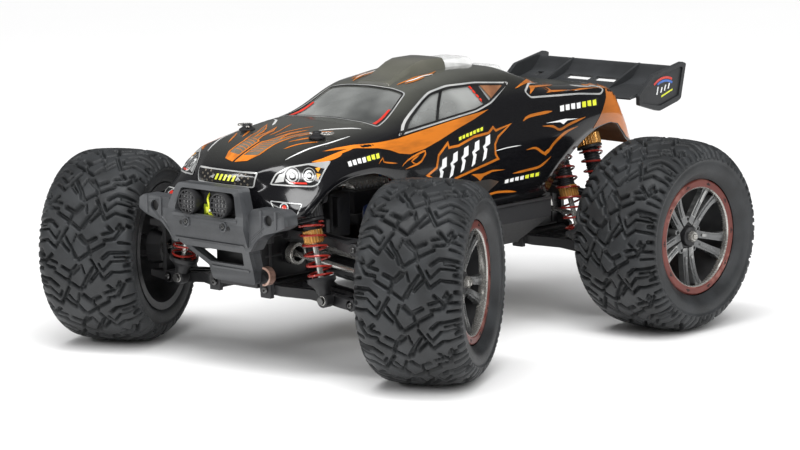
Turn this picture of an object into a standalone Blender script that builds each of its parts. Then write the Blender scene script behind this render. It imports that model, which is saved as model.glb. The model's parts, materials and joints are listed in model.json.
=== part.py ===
"""Radio-controlled monster truck, about 1:10 scale, as an assembly of separate pieces.

Units are metres. +X is the truck's left, -Y its front and +Z is up. The origin is on the ground,
under the middle of the bounding box. The front wheels stand steered to the left.

Pieces of the running gear are drawn for the left side around their own axle line, at y = 0,
and are then placed on each corner, mirrored for the right side.
"""
import math

import bmesh
import bpy
from mathutils import Matrix, Vector

# ---------------------------------------------------------------- driving dimensions
WHEELBASE = 0.2303
TRACK = 0.250
MODEL_CENTRE_Y = 0.0142          # the middle of the box, behind the middle of the wheelbase

TYRE_RADIUS = 0.0610
TYRE_HALF_WIDTH = 0.03215
TYRE_SHOULDER = 0.0113
TYRE_CROWN = 0.0023
BEAD_RADIUS = 0.0371
WHEEL_STEPS = 24
RIM_STEPS = 16
HUB_STEPS = 10

RIM_RADIUS = 0.0364
RIM_INNER_RADIUS = 0.0338
RING_INNER_RADIUS = 0.0305
RING_FACE = 0.0264
SPOKE_COUNT = 5
SPOKE_ROOT = 0.0096
SPOKE_TIP = 0.0352
SPOKE_HALF_WIDTH = 0.0017
SPOKE_SPREAD = math.radians(10.5)
SPOKE_DEPTH = 0.0050
SPOKE_PLANE = 0.0175             # outboard of the wheel's middle plane

KINGPIN_INSET = 0.0305           # kingpin to the wheel's middle plane
KINGPIN_X = TRACK / 2 - KINGPIN_INSET
STEER_ANGLE = {1: math.radians(26.8), -1: math.radians(22.7)}
STEERING_ARM = 0.0220
STEERING_ARM_BOTTOM = 0.0590
STEERING_ARM_TOP = 0.0630

AXLE_Z = TYRE_RADIUS
ARM_INNER = Vector((0.0220, 0.0, 0.0500))
ARM_OUTER = Vector((0.0795, 0.0, 0.0450))
UPPER_SHIFT = Vector((0.0010, 0.0, 0.0330))
ARM_TUBE_RADIUS = 0.0040
ARM_TUBE_HALF = 0.0220
LOWER_TINE_HALF = 0.0110
UPPER_TINE_HALF = 0.0090
TINE_RADIUS = 0.0034
TINE_MARGIN = 0.0006             # the round end of a tine is wider than its plate by this
TINE_REACH = 0.0062              # how far the fork is open, inboard of its pin
PIN_RADIUS = 0.0015
PIN_BORE = 0.00195
PIN_STEPS = 6
EYE_BORE = 0.0026
GAP = 0.0004
THROUGH = 0.03                   # a cutter's half length, past both faces of any lug

CARRIER_X = 0.0844               # the inboard face of the hub carriers and caster blocks
CARRIER_WIDTH = 0.0160
LUG_RADIUS = 0.0036
LOWER_LUG_HALF = 0.0070
UPPER_LUG_HALF = 0.0050

DIFF = Vector((0.0210, 0.0, 0.0690))
SHAFT_RADIUS = 0.0022
SHAFT_BALL = 0.0031

FRONT_SHOCK = {"eye": Vector((0.0630, 0, 0.0470)), "top": Vector((0.0485, 0, 0.1070)), "turns": 6}
REAR_SHOCK = {"eye": Vector((0.0700, 0, 0.0465)), "top": Vector((0.0460, 0, 0.1210)), "turns": 8}
SHOCK_OFFSET = 0.0155            # from the axle line, ahead of it or behind it
SHOCK_PIN_END = 0.0200
SHOCK_PIN_SHOULDER = 0.0112
COLLAR_RADIUS = 0.0026
EYE_RADIUS = 0.0042
EYE_HALF_WIDTH = 0.0030
CAP_RADIUS = 0.0085
CAP_BOTTOM = 0.0130
CUP_TOP = 0.0140
SPRING_RADIUS = 0.0076
WIRE_RADIUS = 0.0008
SEAL_RADIUS = 0.0057
BODY_RADIUS = 0.0051
SHOCK_BORE = 0.0024
BORE_TOP = 0.0065
ROD_RADIUS = 0.0018
ROD_INSIDE = 0.0445              # the rod's top end, above the lower eye
SEAL_LOW, SEAL_HIGH = 0.0340, 0.0420
SHOCK_STEPS = 10
COIL_STEPS = 7                   # straight stretches in one turn of a spring

PLATE_INNER = ARM_TUBE_HALF + GAP
PLATE_THICKNESS = 0.0030
GEARBOX_HALF_WIDTH = 0.0170
GEARBOX_TOP = 0.0860
FLOOR_BOTTOM = 0.0500
FLOOR_TOP = 0.0530
SHAFT_Z = 0.0600
SHAFT_END = 0.0283               # the centre shaft's ends, from the axle lines
SPUR_GEAR_Y = 0.0720

SERVO_AXIS = Vector((0.0, -0.0740, 0.0890))
HORN_LENGTH = 0.01694
HORN_REST = math.radians(-32.9)
HORN_FRONT_Y, HORN_BACK_Y = -0.0763, -0.0739
HORN_HALF_WIDTH = 0.0016
LINK_Y = 0.0310                  # the steering link, behind the front axle
LINK_Z = 0.0680
LINK_BOTTOM, LINK_TOP = 0.0660, 0.0700
LINK_PIN_X = 0.0175              # from the middle of the link
LINK_TRAVEL = 0.01841
TIE_BALL_Z = 0.0656

SHELL_THICKNESS = 0.0012
NOSE_PANEL_BOTTOM = 0.0985
TAIL_PANEL_BOTTOM = 0.1070
POST = Vector((0.0303, 0.0132, 0.1470))
POST_RADIUS = 0.0030
POST_HOLE = 0.0038
WING_ARM_X = 0.0130
END_PLATE_X = 0.0600
STRAKE_X = 0.0290

MOTOR_CENTRE = (-0.0240, 0.0480, 0.0820)
MOTOR_RADIUS = 0.0165
MOTOR_HALF_LENGTH = 0.0230

FRONT_AXLE = -WHEELBASE / 2
REAR_AXLE = WHEELBASE / 2

# ---------------------------------------------------------------- colours
COLOURS = {                      # colour, roughness, metallic
    "rubber": ((0.030, 0.031, 0.032), 0.75, 0.0),
    "rim_plastic": ((0.16, 0.165, 0.17), 0.35, 0.6),
    "body_paint": ((0.85, 0.30, 0.04), 0.15, 0.0),
    "grey_plastic": ((0.085, 0.09, 0.095), 0.55, 0.0),
    "black_plastic": ((0.020, 0.020, 0.021), 0.45, 0.0),
    "bright_steel": ((0.70, 0.69, 0.66), 0.25, 1.0),
    "red_wire": ((0.55, 0.04, 0.03), 0.35, 0.3),
    "battery_sleeve": ((0.05, 0.08, 0.30), 0.40, 0.0),
    "motor_can": ((0.45, 0.45, 0.46), 0.35, 0.9),
}


def clear_scene():
    for thing in list(bpy.data.objects):
        bpy.data.objects.remove(thing, do_unlink=True)


def make_material(name):
    colour, roughness, metallic = COLOURS[name]
    material = bpy.data.materials.new(name)
    material.use_nodes = True
    shader = material.node_tree.nodes["Principled BSDF"]
    shader.inputs["Base Color"].default_value = (*colour, 1.0)
    shader.inputs["Roughness"].default_value = roughness
    shader.inputs["Metallic"].default_value = metallic
    return material


# ---------------------------------------------------------------- modelling helpers
def link(mesh, name="work"):
    thing = bpy.data.objects.new(name, mesh)
    TRUCK.objects.link(thing)
    return thing


def from_bmesh(bm, name="work"):
    mesh = bpy.data.meshes.new(name)
    bmesh.ops.recalc_face_normals(bm, faces=bm.faces)
    bm.to_mesh(mesh)
    bm.free()
    return link(mesh, name)


def evaluated(thing):
    """A plain mesh object with the modifiers or the curve of thing made real."""
    bpy.context.view_layer.update()
    graph = bpy.context.evaluated_depsgraph_get()
    mesh = bpy.data.meshes.new_from_object(thing.evaluated_get(graph))
    mesh.transform(thing.matrix_world)
    bpy.data.objects.remove(thing, do_unlink=True)
    bm = bmesh.new()
    bm.from_mesh(mesh)
    bmesh.ops.remove_doubles(bm, verts=bm.verts, dist=0.000005)
    bpy.data.meshes.remove(mesh)
    return from_bmesh(bm)


def box(low, high, bevel=0.0):
    low, high = Vector(low), Vector(high)
    bm = bmesh.new()
    bmesh.ops.create_cube(bm, size=1.0)
    size = high - low
    bmesh.ops.scale(bm, vec=size, verts=bm.verts)
    bmesh.ops.translate(bm, vec=(low + high) / 2, verts=bm.verts)
    if bevel:
        bmesh.ops.bevel(bm, geom=list(bm.edges), offset=bevel, segments=1, affect="EDGES")
    return from_bmesh(bm)


def rod(start, end, radius, steps=8, end_radius=None):
    """A round bar or cone from start to end."""
    start, end = Vector(start), Vector(end)
    axis = end - start
    bm = bmesh.new()
    bmesh.ops.create_cone(bm, cap_ends=True, segments=steps, radius1=radius,
                          radius2=radius if end_radius is None else end_radius, depth=axis.length)
    turn = axis.to_track_quat("Z", "Y").to_matrix().to_4x4()
    bmesh.ops.transform(bm, matrix=Matrix.Translation((start + end) / 2) @ turn, verts=bm.verts)
    return from_bmesh(bm)


def turned(profile, steps, closed):
    """A profile of (radius, height) points turned about Z. A closed profile makes a ring."""
    mesh = bpy.data.meshes.new("profile")
    edges = [(i, i + 1) for i in range(len(profile) - 1)]
    if closed:
        edges.append((len(profile) - 1, 0))
    mesh.from_pydata([(r, 0.0, z) for r, z in profile], edges, [])
    thing = link(mesh)
    thing.rotation_euler.z = math.pi / steps
    screw = thing.modifiers.new("turn", "SCREW")
    screw.steps = steps
    screw.render_steps = steps
    screw.use_merge_vertices = True
    screw.merge_threshold = 0.00001
    return evaluated(thing)


def prism(outline, thickness, holes=(), plane="XZ"):
    """A flat outline with holes, thickness deep, centred on its plane."""
    curve = bpy.data.curves.new("outline", "CURVE")
    curve.dimensions = "2D"
    curve.fill_mode = "BOTH"
    curve.extrude = thickness / 2
    for points in (outline, *holes):
        spline = curve.splines.new("POLY")
        spline.points.add(len(points) - 1)
        spline.use_cyclic_u = True
        for point, (u, v) in zip(spline.points, points):
            point.co = (u, v, 0.0, 1.0)
    thing = bpy.data.objects.new("outline", curve)
    TRUCK.objects.link(thing)
    turns = {"XY": Matrix.Identity(4), "XZ": Matrix.Rotation(math.pi / 2, 4, "X"),
             "YZ": Matrix(((0, 0, 1, 0), (1, 0, 0, 0), (0, 1, 0, 0), (0, 0, 0, 1)))}
    thing.matrix_world = turns[plane]
    return evaluated(thing)


def moved(thing, *offset):
    thing.data.transform(Matrix.Translation(Vector(offset)))
    return thing


def boolean(base, others, operation):
    for other in others:
        modifier = base.modifiers.new("combine", "BOOLEAN")
        modifier.operation = operation
        modifier.solver = "EXACT"
        modifier.object = other
    result = evaluated(base)
    for other in others:
        bpy.data.objects.remove(other, do_unlink=True)
    return result


def fuse(base, *others):
    return boolean(base, others, "UNION")


def cut(base, *others):
    return boolean(base, others, "DIFFERENCE")


def mirrored_x(points):
    """Outline points of the +X half, followed by their mirror images in reverse order."""
    return points + [(-x, z) for x, z in reversed(points) if x != 0]


def piece(thing, name, material, matrix=Matrix.Identity(4), pivot=(0, 0, 0)):
    """Name a finished solid, put it in place and set its origin on its pivot."""
    matrix = Matrix.Translation((0, -MODEL_CENTRE_Y, 0)) @ matrix
    pivot = Vector(pivot) - Vector((0, MODEL_CENTRE_Y, 0))
    thing.data.transform(Matrix.Translation(-pivot) @ matrix)
    if matrix.determinant() < 0:
        thing.data.flip_normals()
    thing.name = name
    thing.data.name = name
    thing.location = pivot
    thing.parent = FRAME
    thing.data.materials.clear()
    thing.data.materials.append(MATERIALS[material])
    thing.data.shade_smooth()
    thing.data.set_sharp_from_angle(angle=math.radians(35))
    return thing


# ---------------------------------------------------------------- wheels
def tyre_profile():
    """The carcass, hollow and open towards the rim."""
    half, shoulder = TYRE_HALF_WIDTH, TYRE_SHOULDER

    def crown(s):
        return TYRE_RADIUS - TYRE_CROWN * (s / half) ** 2

    edge = half - shoulder
    arc = [(crown(half) - shoulder + shoulder * math.sin(a), edge + shoulder * math.cos(a))
           for a in (math.radians(d) for d in (0, 35, 65))]
    outboard = [(BEAD_RADIUS, 0.0262), (0.0420, 0.0310)] + arc
    inboard = [(r, -s) for r, s in reversed(arc)] + [(0.0415, -0.0316), (0.0415, -0.0284)]
    tread = [(crown(0.016), 0.016), (crown(0), 0), (crown(0.016), -0.016)]
    cavity = [(BEAD_RADIUS, -0.0245), (0.0450, -0.0285), (0.0545, -0.0255), (0.0575, 0.0),
              (0.0545, 0.0255), (0.0450, 0.0285), (BEAD_RADIUS, 0.0230)]
    return outboard + tread + inboard + [(BEAD_RADIUS, -0.0280)] + cavity


def rim_profile():
    return [(RIM_RADIUS, RING_FACE), (RIM_RADIUS, -0.0285), (0.0406, -0.0290), (0.0406, -0.0310),
            (0.0355, -0.0310), (RIM_INNER_RADIUS, -0.0270), (RIM_INNER_RADIUS, 0.0190),
            (RING_INNER_RADIUS, 0.0225), (RING_INNER_RADIUS, RING_FACE)]


def spoke_star():
    """The outline of the hub with its pairs of spokes, seen along the axle."""
    points = []
    for k in range(SPOKE_COUNT):
        for lean in (-SPOKE_SPREAD, SPOKE_SPREAD):
            a = 2 * math.pi * k / SPOKE_COUNT + lean
            along = Vector((math.cos(a), math.sin(a)))
            across = Vector((-along.y, along.x)) * SPOKE_HALF_WIDTH
            points += [along * SPOKE_ROOT - across, along * SPOKE_TIP - across,
                       along * SPOKE_TIP + across, along * SPOKE_ROOT + across]
    return [tuple(p) for p in points]


def wheel_parts():
    """Tyre and rim about the Z axis, with +Z outboard; the caller lays them along the axle."""
    tyre = turned(tyre_profile(), WHEEL_STEPS, True)
    barrel = turned(rim_profile(), RIM_STEPS, True)
    star = moved(prism(spoke_star(), SPOKE_DEPTH, plane="XY"), 0, 0, SPOKE_PLANE)
    hub = turned([(0, 0.0240), (0.0050, 0.0240), (0.0050, 0.0205), (0.0105, 0.0200),
                  (0.0105, 0.0130), (0.0070, 0.0060), (0.0070, -0.0070), (0.00255, -0.0075),
                  (0.00255, -0.0235), (0, -0.0235)], HUB_STEPS, False)
    return tyre, fuse(barrel, star, hub)


# ---------------------------------------------------------------- suspension pieces
def arm(start, end, inner_half, outer_half, waist, thickness, lug_half):
    """A suspension arm: a hinge tube inboard, two tines with a pin outboard, a bar between."""
    length = (end - start).length
    fork = lug_half + GAP
    tine = outer_half + TINE_MARGIN - fork
    tube = rod((0, -inner_half, 0), (0, inner_half, 0), ARM_TUBE_RADIUS)
    plan = [(0.001, -inner_half), (length * 0.42, -waist), (length * 0.70, -waist),
            (length * 0.84, -outer_half), (length, -outer_half)]
    root = length - TINE_REACH
    plan += [(length, -fork), (root, -fork), (root, fork), (length, fork)]
    plan += [(length, outer_half), (length * 0.84, outer_half), (length * 0.70, waist),
             (length * 0.42, waist), (0.001, inner_half)]
    holes = []
    if inner_half == ARM_TUBE_HALF:
        near, far = 0.0085, length * 0.36
        holes = [[(near, side * 0.0030), (near, side * 0.0150), (far, side * 0.0085),
                  (far, side * 0.0030)] for side in (-1, 1)]
    plate = prism(plan, thickness, holes, "XY")
    ends = [rod((length, y - tine / 2, 0), (length, y + tine / 2, 0), TINE_RADIUS)
            for y in (-(fork + tine / 2), fork + tine / 2)]
    pin = rod((length, -outer_half, 0), (length, outer_half, 0), PIN_RADIUS, PIN_STEPS)
    bore = rod((0, -THROUGH, 0), (0, THROUGH, 0), PIN_BORE)
    return cut(fuse(tube, plate, *ends, pin), bore)


def arm_matrix(start, end):
    direction = end - start
    tilt = math.atan2(direction.z, direction.x)
    return Matrix.Translation(start) @ Matrix.Rotation(-tilt, 4, "Y")


def lower_arm(shock, offsets):
    thing = arm(ARM_INNER, ARM_OUTER, ARM_TUBE_HALF, LOWER_TINE_HALF, 0.0105, 0.0060, LOWER_LUG_HALF)
    thing.data.transform(arm_matrix(ARM_INNER, ARM_OUTER))
    pins = []
    for offset in offsets:
        side = math.copysign(1, offset)
        eye = shock["eye"]
        root = Vector((eye.x, side * 0.0085, eye.z))
        shoulder = Vector((eye.x, side * SHOCK_PIN_SHOULDER, eye.z))
        end = Vector((eye.x, side * SHOCK_PIN_END, eye.z))
        pins.append(rod(root, shoulder, TINE_RADIUS))
        pins.append(rod(root, end, PIN_RADIUS, PIN_STEPS))
    return fuse(thing, *pins)


def upper_arm():
    thing = arm(ARM_INNER, ARM_OUTER, UPPER_TINE_HALF, UPPER_TINE_HALF, 0.0030, 0.0050, UPPER_LUG_HALF)
    thing.data.transform(arm_matrix(ARM_INNER + UPPER_SHIFT, ARM_OUTER + UPPER_SHIFT))
    return thing


def hub_lugs():
    """The two eyes of a hub carrier that hang between the arms' tines."""
    lugs = []
    for point, half in ((ARM_OUTER, LOWER_LUG_HALF), (ARM_OUTER + UPPER_SHIFT, UPPER_LUG_HALF)):
        lugs.append(rod(point - Vector((0, half, 0)), point + Vector((0, half, 0)), LUG_RADIUS))
        lugs.append(box((point.x, -half, point.z - 0.0030), (0.0860, half, point.z + 0.0030)))
    return lugs


def hub_bores():
    return [rod(point - Vector((0, THROUGH, 0)), point + Vector((0, THROUGH, 0)), PIN_BORE)
            for point in (ARM_OUTER, ARM_OUTER + UPPER_SHIFT)]


def bearing_housing():
    """The turned housing around the stub axle. Its Z axis is the axle, from the kingpin out."""
    return turned([(0.0110, 0.0080), (0.0110, -0.0018), (0.0075, -0.0018), (0.0075, 0.0090),
                   (0.0030, 0.0090), (0.0030, 0.0220), (0.0070, 0.0220), (0.0070, 0.0080)], 12, True)


def along_axle():
    """Turns +Z to +X, the outboard direction, and lifts to the axle's height."""
    return Matrix.Translation((KINGPIN_X, 0, AXLE_Z)) @ Matrix.Rotation(math.pi / 2, 4, "Y")


def caster_block():
    """The C-shaped bracket that holds the kingpins above and below the knuckle."""
    x_plate, x_out = 0.0872, KINGPIN_X + 0.0045
    side = [(CARRIER_X, 0.0410), (x_out, 0.0430), (x_out, 0.0470), (x_plate, 0.0470),
            (x_plate, 0.0750), (x_out, 0.0750), (x_out, 0.0790), (CARRIER_X, 0.0820)]
    frame = fuse(prism(side, CARRIER_WIDTH), *hub_lugs())
    shaft_z = AXLE_Z + 0.0010
    window = rod((0.075, 0, shaft_z), (0.090, 0, shaft_z), 0.0070, 12)
    return cut(frame, window, *hub_bores())


def knuckle():
    """The steered bearing carrier, drawn straight ahead."""
    ring = bearing_housing()
    ring.data.transform(along_axle())
    lugs = [rod((KINGPIN_X, 0, AXLE_Z + s * 0.0095), (KINGPIN_X, 0, AXLE_Z + s * 0.0136), 0.0040)
            for s in (-1, 1)]
    arm_bar = box((KINGPIN_X - 0.0020, 0.0095, STEERING_ARM_BOTTOM),
                  (KINGPIN_X + 0.0030, STEERING_ARM, STEERING_ARM_TOP))
    eye = rod((KINGPIN_X, STEERING_ARM, STEERING_ARM_BOTTOM),
              (KINGPIN_X, STEERING_ARM, STEERING_ARM_TOP), 0.0038)
    return fuse(ring, *lugs, arm_bar, eye)


def hub_carrier():
    """The rear bearing carrier, which hangs between both arms."""
    ring = bearing_housing()
    ring.data.transform(along_axle())
    plate = prism([(CARRIER_X, 0.0410), (0.0900, 0.0430), (0.0960, 0.0520), (0.0960, 0.0700),
                   (0.0900, 0.0790), (CARRIER_X, 0.0820)], CARRIER_WIDTH)
    bore = rod((0.075, 0, AXLE_Z), (0.0975, 0, AXLE_Z), 0.0085, 12)
    return cut(fuse(cut(fuse(plate, *hub_lugs()), bore), ring), *hub_bores())


def driveshaft():
    """The dogbone from the differential's cup to the stub axle, with a ball at each end."""
    span = Vector((KINGPIN_X, 0, AXLE_Z)) - DIFF
    length = span.length
    thing = turned([(0, length + 0.0030), (SHAFT_RADIUS, length + 0.0024), (SHAFT_BALL, length),
                    (SHAFT_RADIUS, length - 0.0026), (SHAFT_RADIUS, 0.0026), (SHAFT_BALL, 0),
                    (SHAFT_RADIUS, -0.0024), (0, -0.0030)], 8, False)
    turn = span.to_track_quat("Z", "Y").to_matrix().to_4x4()
    thing.data.transform(Matrix.Translation(DIFF) @ turn)
    return thing


# ---------------------------------------------------------------- shock absorbers
def shock_axis(shock, offset):
    """Maps a piece drawn down the Z axis from the top eye onto the leaning shock."""
    direction = shock["eye"] - shock["top"]
    lean = math.atan2(direction.x, -direction.z)
    return Matrix.Translation(shock["top"] + Vector((0, offset, 0))) @ Matrix.Rotation(-lean, 4, "Y")


def shock_length(shock):
    return (shock["eye"] - shock["top"]).length


def shock_eye(height):
    """An eye's ring, and the cutter of its hole."""
    ring = rod((0, -EYE_HALF_WIDTH, height), (0, EYE_HALF_WIDTH, height), EYE_RADIUS)
    return ring, rod((0, -THROUGH, height), (0, THROUGH, height), EYE_BORE)


def shock_body(shock):
    """The cylinder with its top cap and its seal cap, bored from below for the rod."""
    length = shock_length(shock)
    seal_top, seal_bottom = SEAL_HIGH - length, SEAL_LOW - length
    profile = [(0, -0.0030), (0.0040, -0.0032), (0.0065, -0.0050), (CAP_RADIUS, -0.0060),
               (CAP_RADIUS, -CAP_BOTTOM), (BODY_RADIUS, -CAP_BOTTOM), (BODY_RADIUS, seal_top),
               (SEAL_RADIUS, seal_top), (SEAL_RADIUS, seal_bottom), (SHOCK_BORE, seal_bottom),
               (SHOCK_BORE, -BORE_TOP), (0, -BORE_TOP)]
    eye, bore = shock_eye(0.0)
    return cut(fuse(turned(profile, SHOCK_STEPS, False), eye), bore)


def shock_rod(shock):
    """The piston rod with the spring's lower cup and the lower eye."""
    length = shock_length(shock)
    profile = [(0, ROD_INSIDE - length), (ROD_RADIUS, ROD_INSIDE - length), (ROD_RADIUS, -length + CUP_TOP),
               (0.0086, -length + CUP_TOP), (0.0086, -length + 0.0115), (0.0046, -length + 0.0075),
               (0.0030, -length + 0.0015), (0, -length + 0.0015)]
    eye, bore = shock_eye(-length)
    return cut(fuse(turned(profile, SHOCK_STEPS, False), eye), bore)


def shock_spring(shock):
    """A coil of thin wire between the lower cup and the upper collar."""
    length = shock_length(shock)
    low = -length + CUP_TOP + WIRE_RADIUS + GAP
    high = -CAP_BOTTOM - WIRE_RADIUS - GAP
    count = shock["turns"] * COIL_STEPS
    curve = bpy.data.curves.new("coil", "CURVE")
    curve.dimensions = "3D"
    curve.bevel_depth = WIRE_RADIUS
    curve.bevel_resolution = 0
    curve.use_fill_caps = True
    spline = curve.splines.new("POLY")
    spline.points.add(count)
    for i, point in enumerate(spline.points):
        a = 2 * math.pi * i / COIL_STEPS
        height = low + (high - low) * i / count
        point.co = (SPRING_RADIUS * math.cos(a), SPRING_RADIUS * math.sin(a), height, 1.0)
    thing = bpy.data.objects.new("coil", curve)
    TRUCK.objects.link(thing)
    return evaluated(thing)


# ---------------------------------------------------------------- corners
def corner_matrix(side, axle_y):
    return Matrix.Translation((0, axle_y, 0)) @ Matrix.Diagonal((side, 1, 1, 1))


def steered_matrix(side, axle_y, angle):
    """Turns a piece drawn at the left kingpin about that kingpin, on the given side."""
    kingpin = Vector((KINGPIN_X, 0, 0))
    about = Matrix.Translation((side * KINGPIN_X, axle_y, 0)) @ Matrix.Rotation(angle, 4, "Z")
    return about @ Matrix.Diagonal((side, 1, 1, 1)) @ Matrix.Translation(-kingpin)


def at_corner(point, side, axle_y):
    return Vector((side * point.x, axle_y + point.y, point.z))


def build_wheel(corner, side, axle_y, angle):
    tyre, rim = wheel_parts()
    lay = Matrix.Translation((TRACK / 2, 0, AXLE_Z)) @ Matrix.Rotation(math.pi / 2, 4, "Y")
    centre = steered_matrix(side, axle_y, angle) @ Vector((TRACK / 2, 0, AXLE_Z))
    place = steered_matrix(side, axle_y, angle) @ lay
    piece(tyre, corner + "_tyre", "rubber", place, centre)
    piece(rim, corner + "_rim", "rim_plastic", place, centre)


def build_corner(corner, side, axle_y, shock, offsets, angle):
    place = corner_matrix(side, axle_y)
    piece(lower_arm(shock, offsets), corner + "_lower_arm", "black_plastic", place,
          at_corner(ARM_INNER, side, axle_y))
    piece(upper_arm(), corner + "_upper_arm", "black_plastic", place,
          at_corner(ARM_INNER + UPPER_SHIFT, side, axle_y))
    piece(driveshaft(), corner + "_driveshaft", "bright_steel", place, at_corner(DIFF, side, axle_y))
    steered = corner.startswith("front")
    carrier = caster_block() if steered else hub_carrier()
    carrier_name = "_caster_block" if steered else "_hub_carrier"
    piece(carrier, corner + carrier_name, "black_plastic", place, at_corner(ARM_OUTER, side, axle_y))
    if steered:
        piece(knuckle(), corner + "_knuckle", "black_plastic", steered_matrix(side, axle_y, angle),
              (side * KINGPIN_X, axle_y, AXLE_Z))
    build_wheel(corner, side, axle_y, angle)
    for offset in offsets:
        label = corner + "_shock"
        if len(offsets) > 1:
            label = corner + ("_fore_shock" if offset < 0 else "_aft_shock")
        lay = place @ shock_axis(shock, offset)
        top = at_corner(shock["top"] + Vector((0, offset, 0)), side, axle_y)
        piece(shock_body(shock), label + "_body", "black_plastic", lay, top)
        piece(shock_rod(shock), label + "_rod", "bright_steel", lay, top)
        piece(shock_spring(shock), label + "_spring", "red_wire", lay, top)


# ---------------------------------------------------------------- gearboxes and towers
def gearbox(towards_middle):
    """Gearbox with the hinge plates ahead of and behind the arms, and their four hinge pins."""
    plate = mirrored_x([(0.0170, 0.0534), (0.0180, 0.0450), (0.0265, 0.0450), (0.0265, 0.0550),
                        (0.0195, 0.0600), (0.0195, 0.0770), (0.0275, 0.0790), (0.0275, 0.0870)])
    reach = PLATE_INNER + PLATE_THICKNESS / 2
    plates = [moved(prism(plate, PLATE_THICKNESS), 0, s * reach, 0) for s in (-1, 1)]
    overlap = PLATE_THICKNESS / 3
    body = box((-GEARBOX_HALF_WIDTH, -PLATE_INNER - overlap, FLOOR_TOP + GAP),
               (GEARBOX_HALF_WIDTH, PLATE_INNER + overlap, GEARBOX_TOP), 0.0015)
    cups = [rod((s * 0.016, 0, DIFF.z), (s * 0.0250, 0, DIFF.z), 0.0065) for s in (-1, 1)]
    bowls = [rod((s * 0.0172, 0, DIFF.z), (s * 0.0270, 0, DIFF.z), 0.0045) for s in (-1, 1)]
    inputs = rod((0, towards_middle * 0.020, SHAFT_Z), (0, towards_middle * 0.0335, SHAFT_Z), 0.0050)
    socket = rod((0, towards_middle * 0.0275, SHAFT_Z), (0, towards_middle * 0.04, SHAFT_Z), 0.0032)
    pins = []
    for point in (ARM_INNER, ARM_INNER + UPPER_SHIFT):
        for s in (-1, 1):
            pins.append(rod((s * point.x, -reach, point.z), (s * point.x, reach, point.z),
                            PIN_RADIUS, PIN_STEPS))
    return cut(fuse(body, *plates, *cups, inputs, *pins), *bowls, socket)


def front_tower():
    """Upright plate with the shock pins, and the two body posts carried behind it."""
    top = FRONT_SHOCK["top"]
    outline = mirrored_x([(0.0150, 0.0864), (0.0200, 0.0900), (0.0530, 0.1040), (0.0530, 0.1105),
                          (0.0450, 0.1120), (0.0280, 0.1060), (0.0160, 0.1090)])
    plate = moved(prism(outline, 0.0030), 0, -0.0033, 0)
    parts = []
    for s in (-1, 1):
        root = Vector((s * top.x, -0.0040, top.z))
        shoulder = Vector((s * top.x, -SHOCK_PIN_SHOULDER, top.z))
        end = Vector((s * top.x, -SHOCK_PIN_END, top.z))
        parts.append(rod(root, end, PIN_RADIUS, PIN_STEPS))
        parts.append(rod(root, shoulder, COLLAR_RADIUS))
        parts.append(box((s * POST.x - 0.0025, -0.0030, 0.1010),
                         (s * POST.x + 0.0025, POST.y, 0.1055)))
        foot = Vector((s * POST.x, POST.y, 0.0980))
        parts.append(rod(foot, (s * POST.x, POST.y, POST.z), POST_RADIUS))
    return fuse(plate, *parts)


def rear_tower():
    """Upright plate with shock pins on both faces, and the two arms that carry the wing."""
    top = REAR_SHOCK["top"]
    outline = mirrored_x([(0.0150, 0.0864), (0.0200, 0.0900), (0.0510, 0.1180), (0.0510, 0.1245),
                          (0.0430, 0.1260), (0.0280, 0.1160), (0.0120, 0.1140)])
    plate = prism(outline, 0.0040)
    parts = []
    for s in (-1, 1):
        for reach, radius, steps in ((SHOCK_PIN_END, PIN_RADIUS, PIN_STEPS),
                                     (SHOCK_PIN_SHOULDER, COLLAR_RADIUS, 8)):
            parts.append(rod((s * top.x, -reach, top.z), (s * top.x, reach, top.z), radius, steps))
        strut = prism([(0.0000, 0.0950), (0.0100, 0.0950), (0.0480, 0.1150), (0.0730, 0.1340),
                       (0.0730, 0.1378), (0.0530, 0.1378), (0.0420, 0.1250), (0.0000, 0.1060)],
                      0.0040, plane="YZ")
        parts.append(moved(strut, s * WING_ARM_X, 0, 0))
    return fuse(plate, *parts)


# ---------------------------------------------------------------- chassis
def chassis():
    """A moulded tub with raised side guards and a narrow nose and tail under the gearboxes."""
    outer = [(0.0600, 0.0830), (0.0600, 0.0705), (0.0300, FLOOR_BOTTOM)]
    inner = [(0.0570, 0.0830), (0.0570, 0.0720), (0.0292, FLOOR_TOP)]
    section = outer + [(-x, z) for x, z in reversed(outer)] + [(-x, z) for x, z in inner] \
        + list(reversed(inner))
    tub = moved(prism(section, 0.128), 0, 0.016, 0)
    plan = mirrored_x([(0.0160, -0.1415), (0.0160, -0.0840), (0.0280, -0.0640), (0.0280, -0.040),
                       (0.0280, 0.0700), (0.0280, 0.0740), (0.0160, 0.0840), (0.0160, 0.1480)])
    spine = moved(prism(plan, FLOOR_TOP - FLOOR_BOTTOM - 0.0006, plane="XY"), 0, 0,
                  (FLOOR_BOTTOM + FLOOR_TOP) / 2)
    walls = [moved(prism(mirrored_x([(0.0290, 0.0515), (0.0585, 0.0712), (0.0585, 0.0760),
                                     (0.0250, 0.0760), (0.0140, 0.0560), (0.0140, 0.0515)]),
                         0.0030), 0, y, 0) for y in (-0.0460, 0.0780)]
    tail = box((-0.0150, 0.1445, 0.0510), (0.0150, 0.1475, 0.0640))
    return fuse(tub, spine, *walls, tail)


# ---------------------------------------------------------------- front bumper
def bumper_setback(z):
    """The bumper's face, in Y, at each height."""
    face = [(0.054, -0.1470), (0.062, -0.1490), (0.076, -0.1620), (0.098, -0.1650), (0.113, -0.1520)]
    if z <= face[0][0]:
        return face[0][1]
    for (z0, y0), (z1, y1) in zip(face, face[1:]):
        if z <= z1:
            return y0 + (y1 - y0) * (z - z0) / (z1 - z0)
    return face[-1][1]


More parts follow.
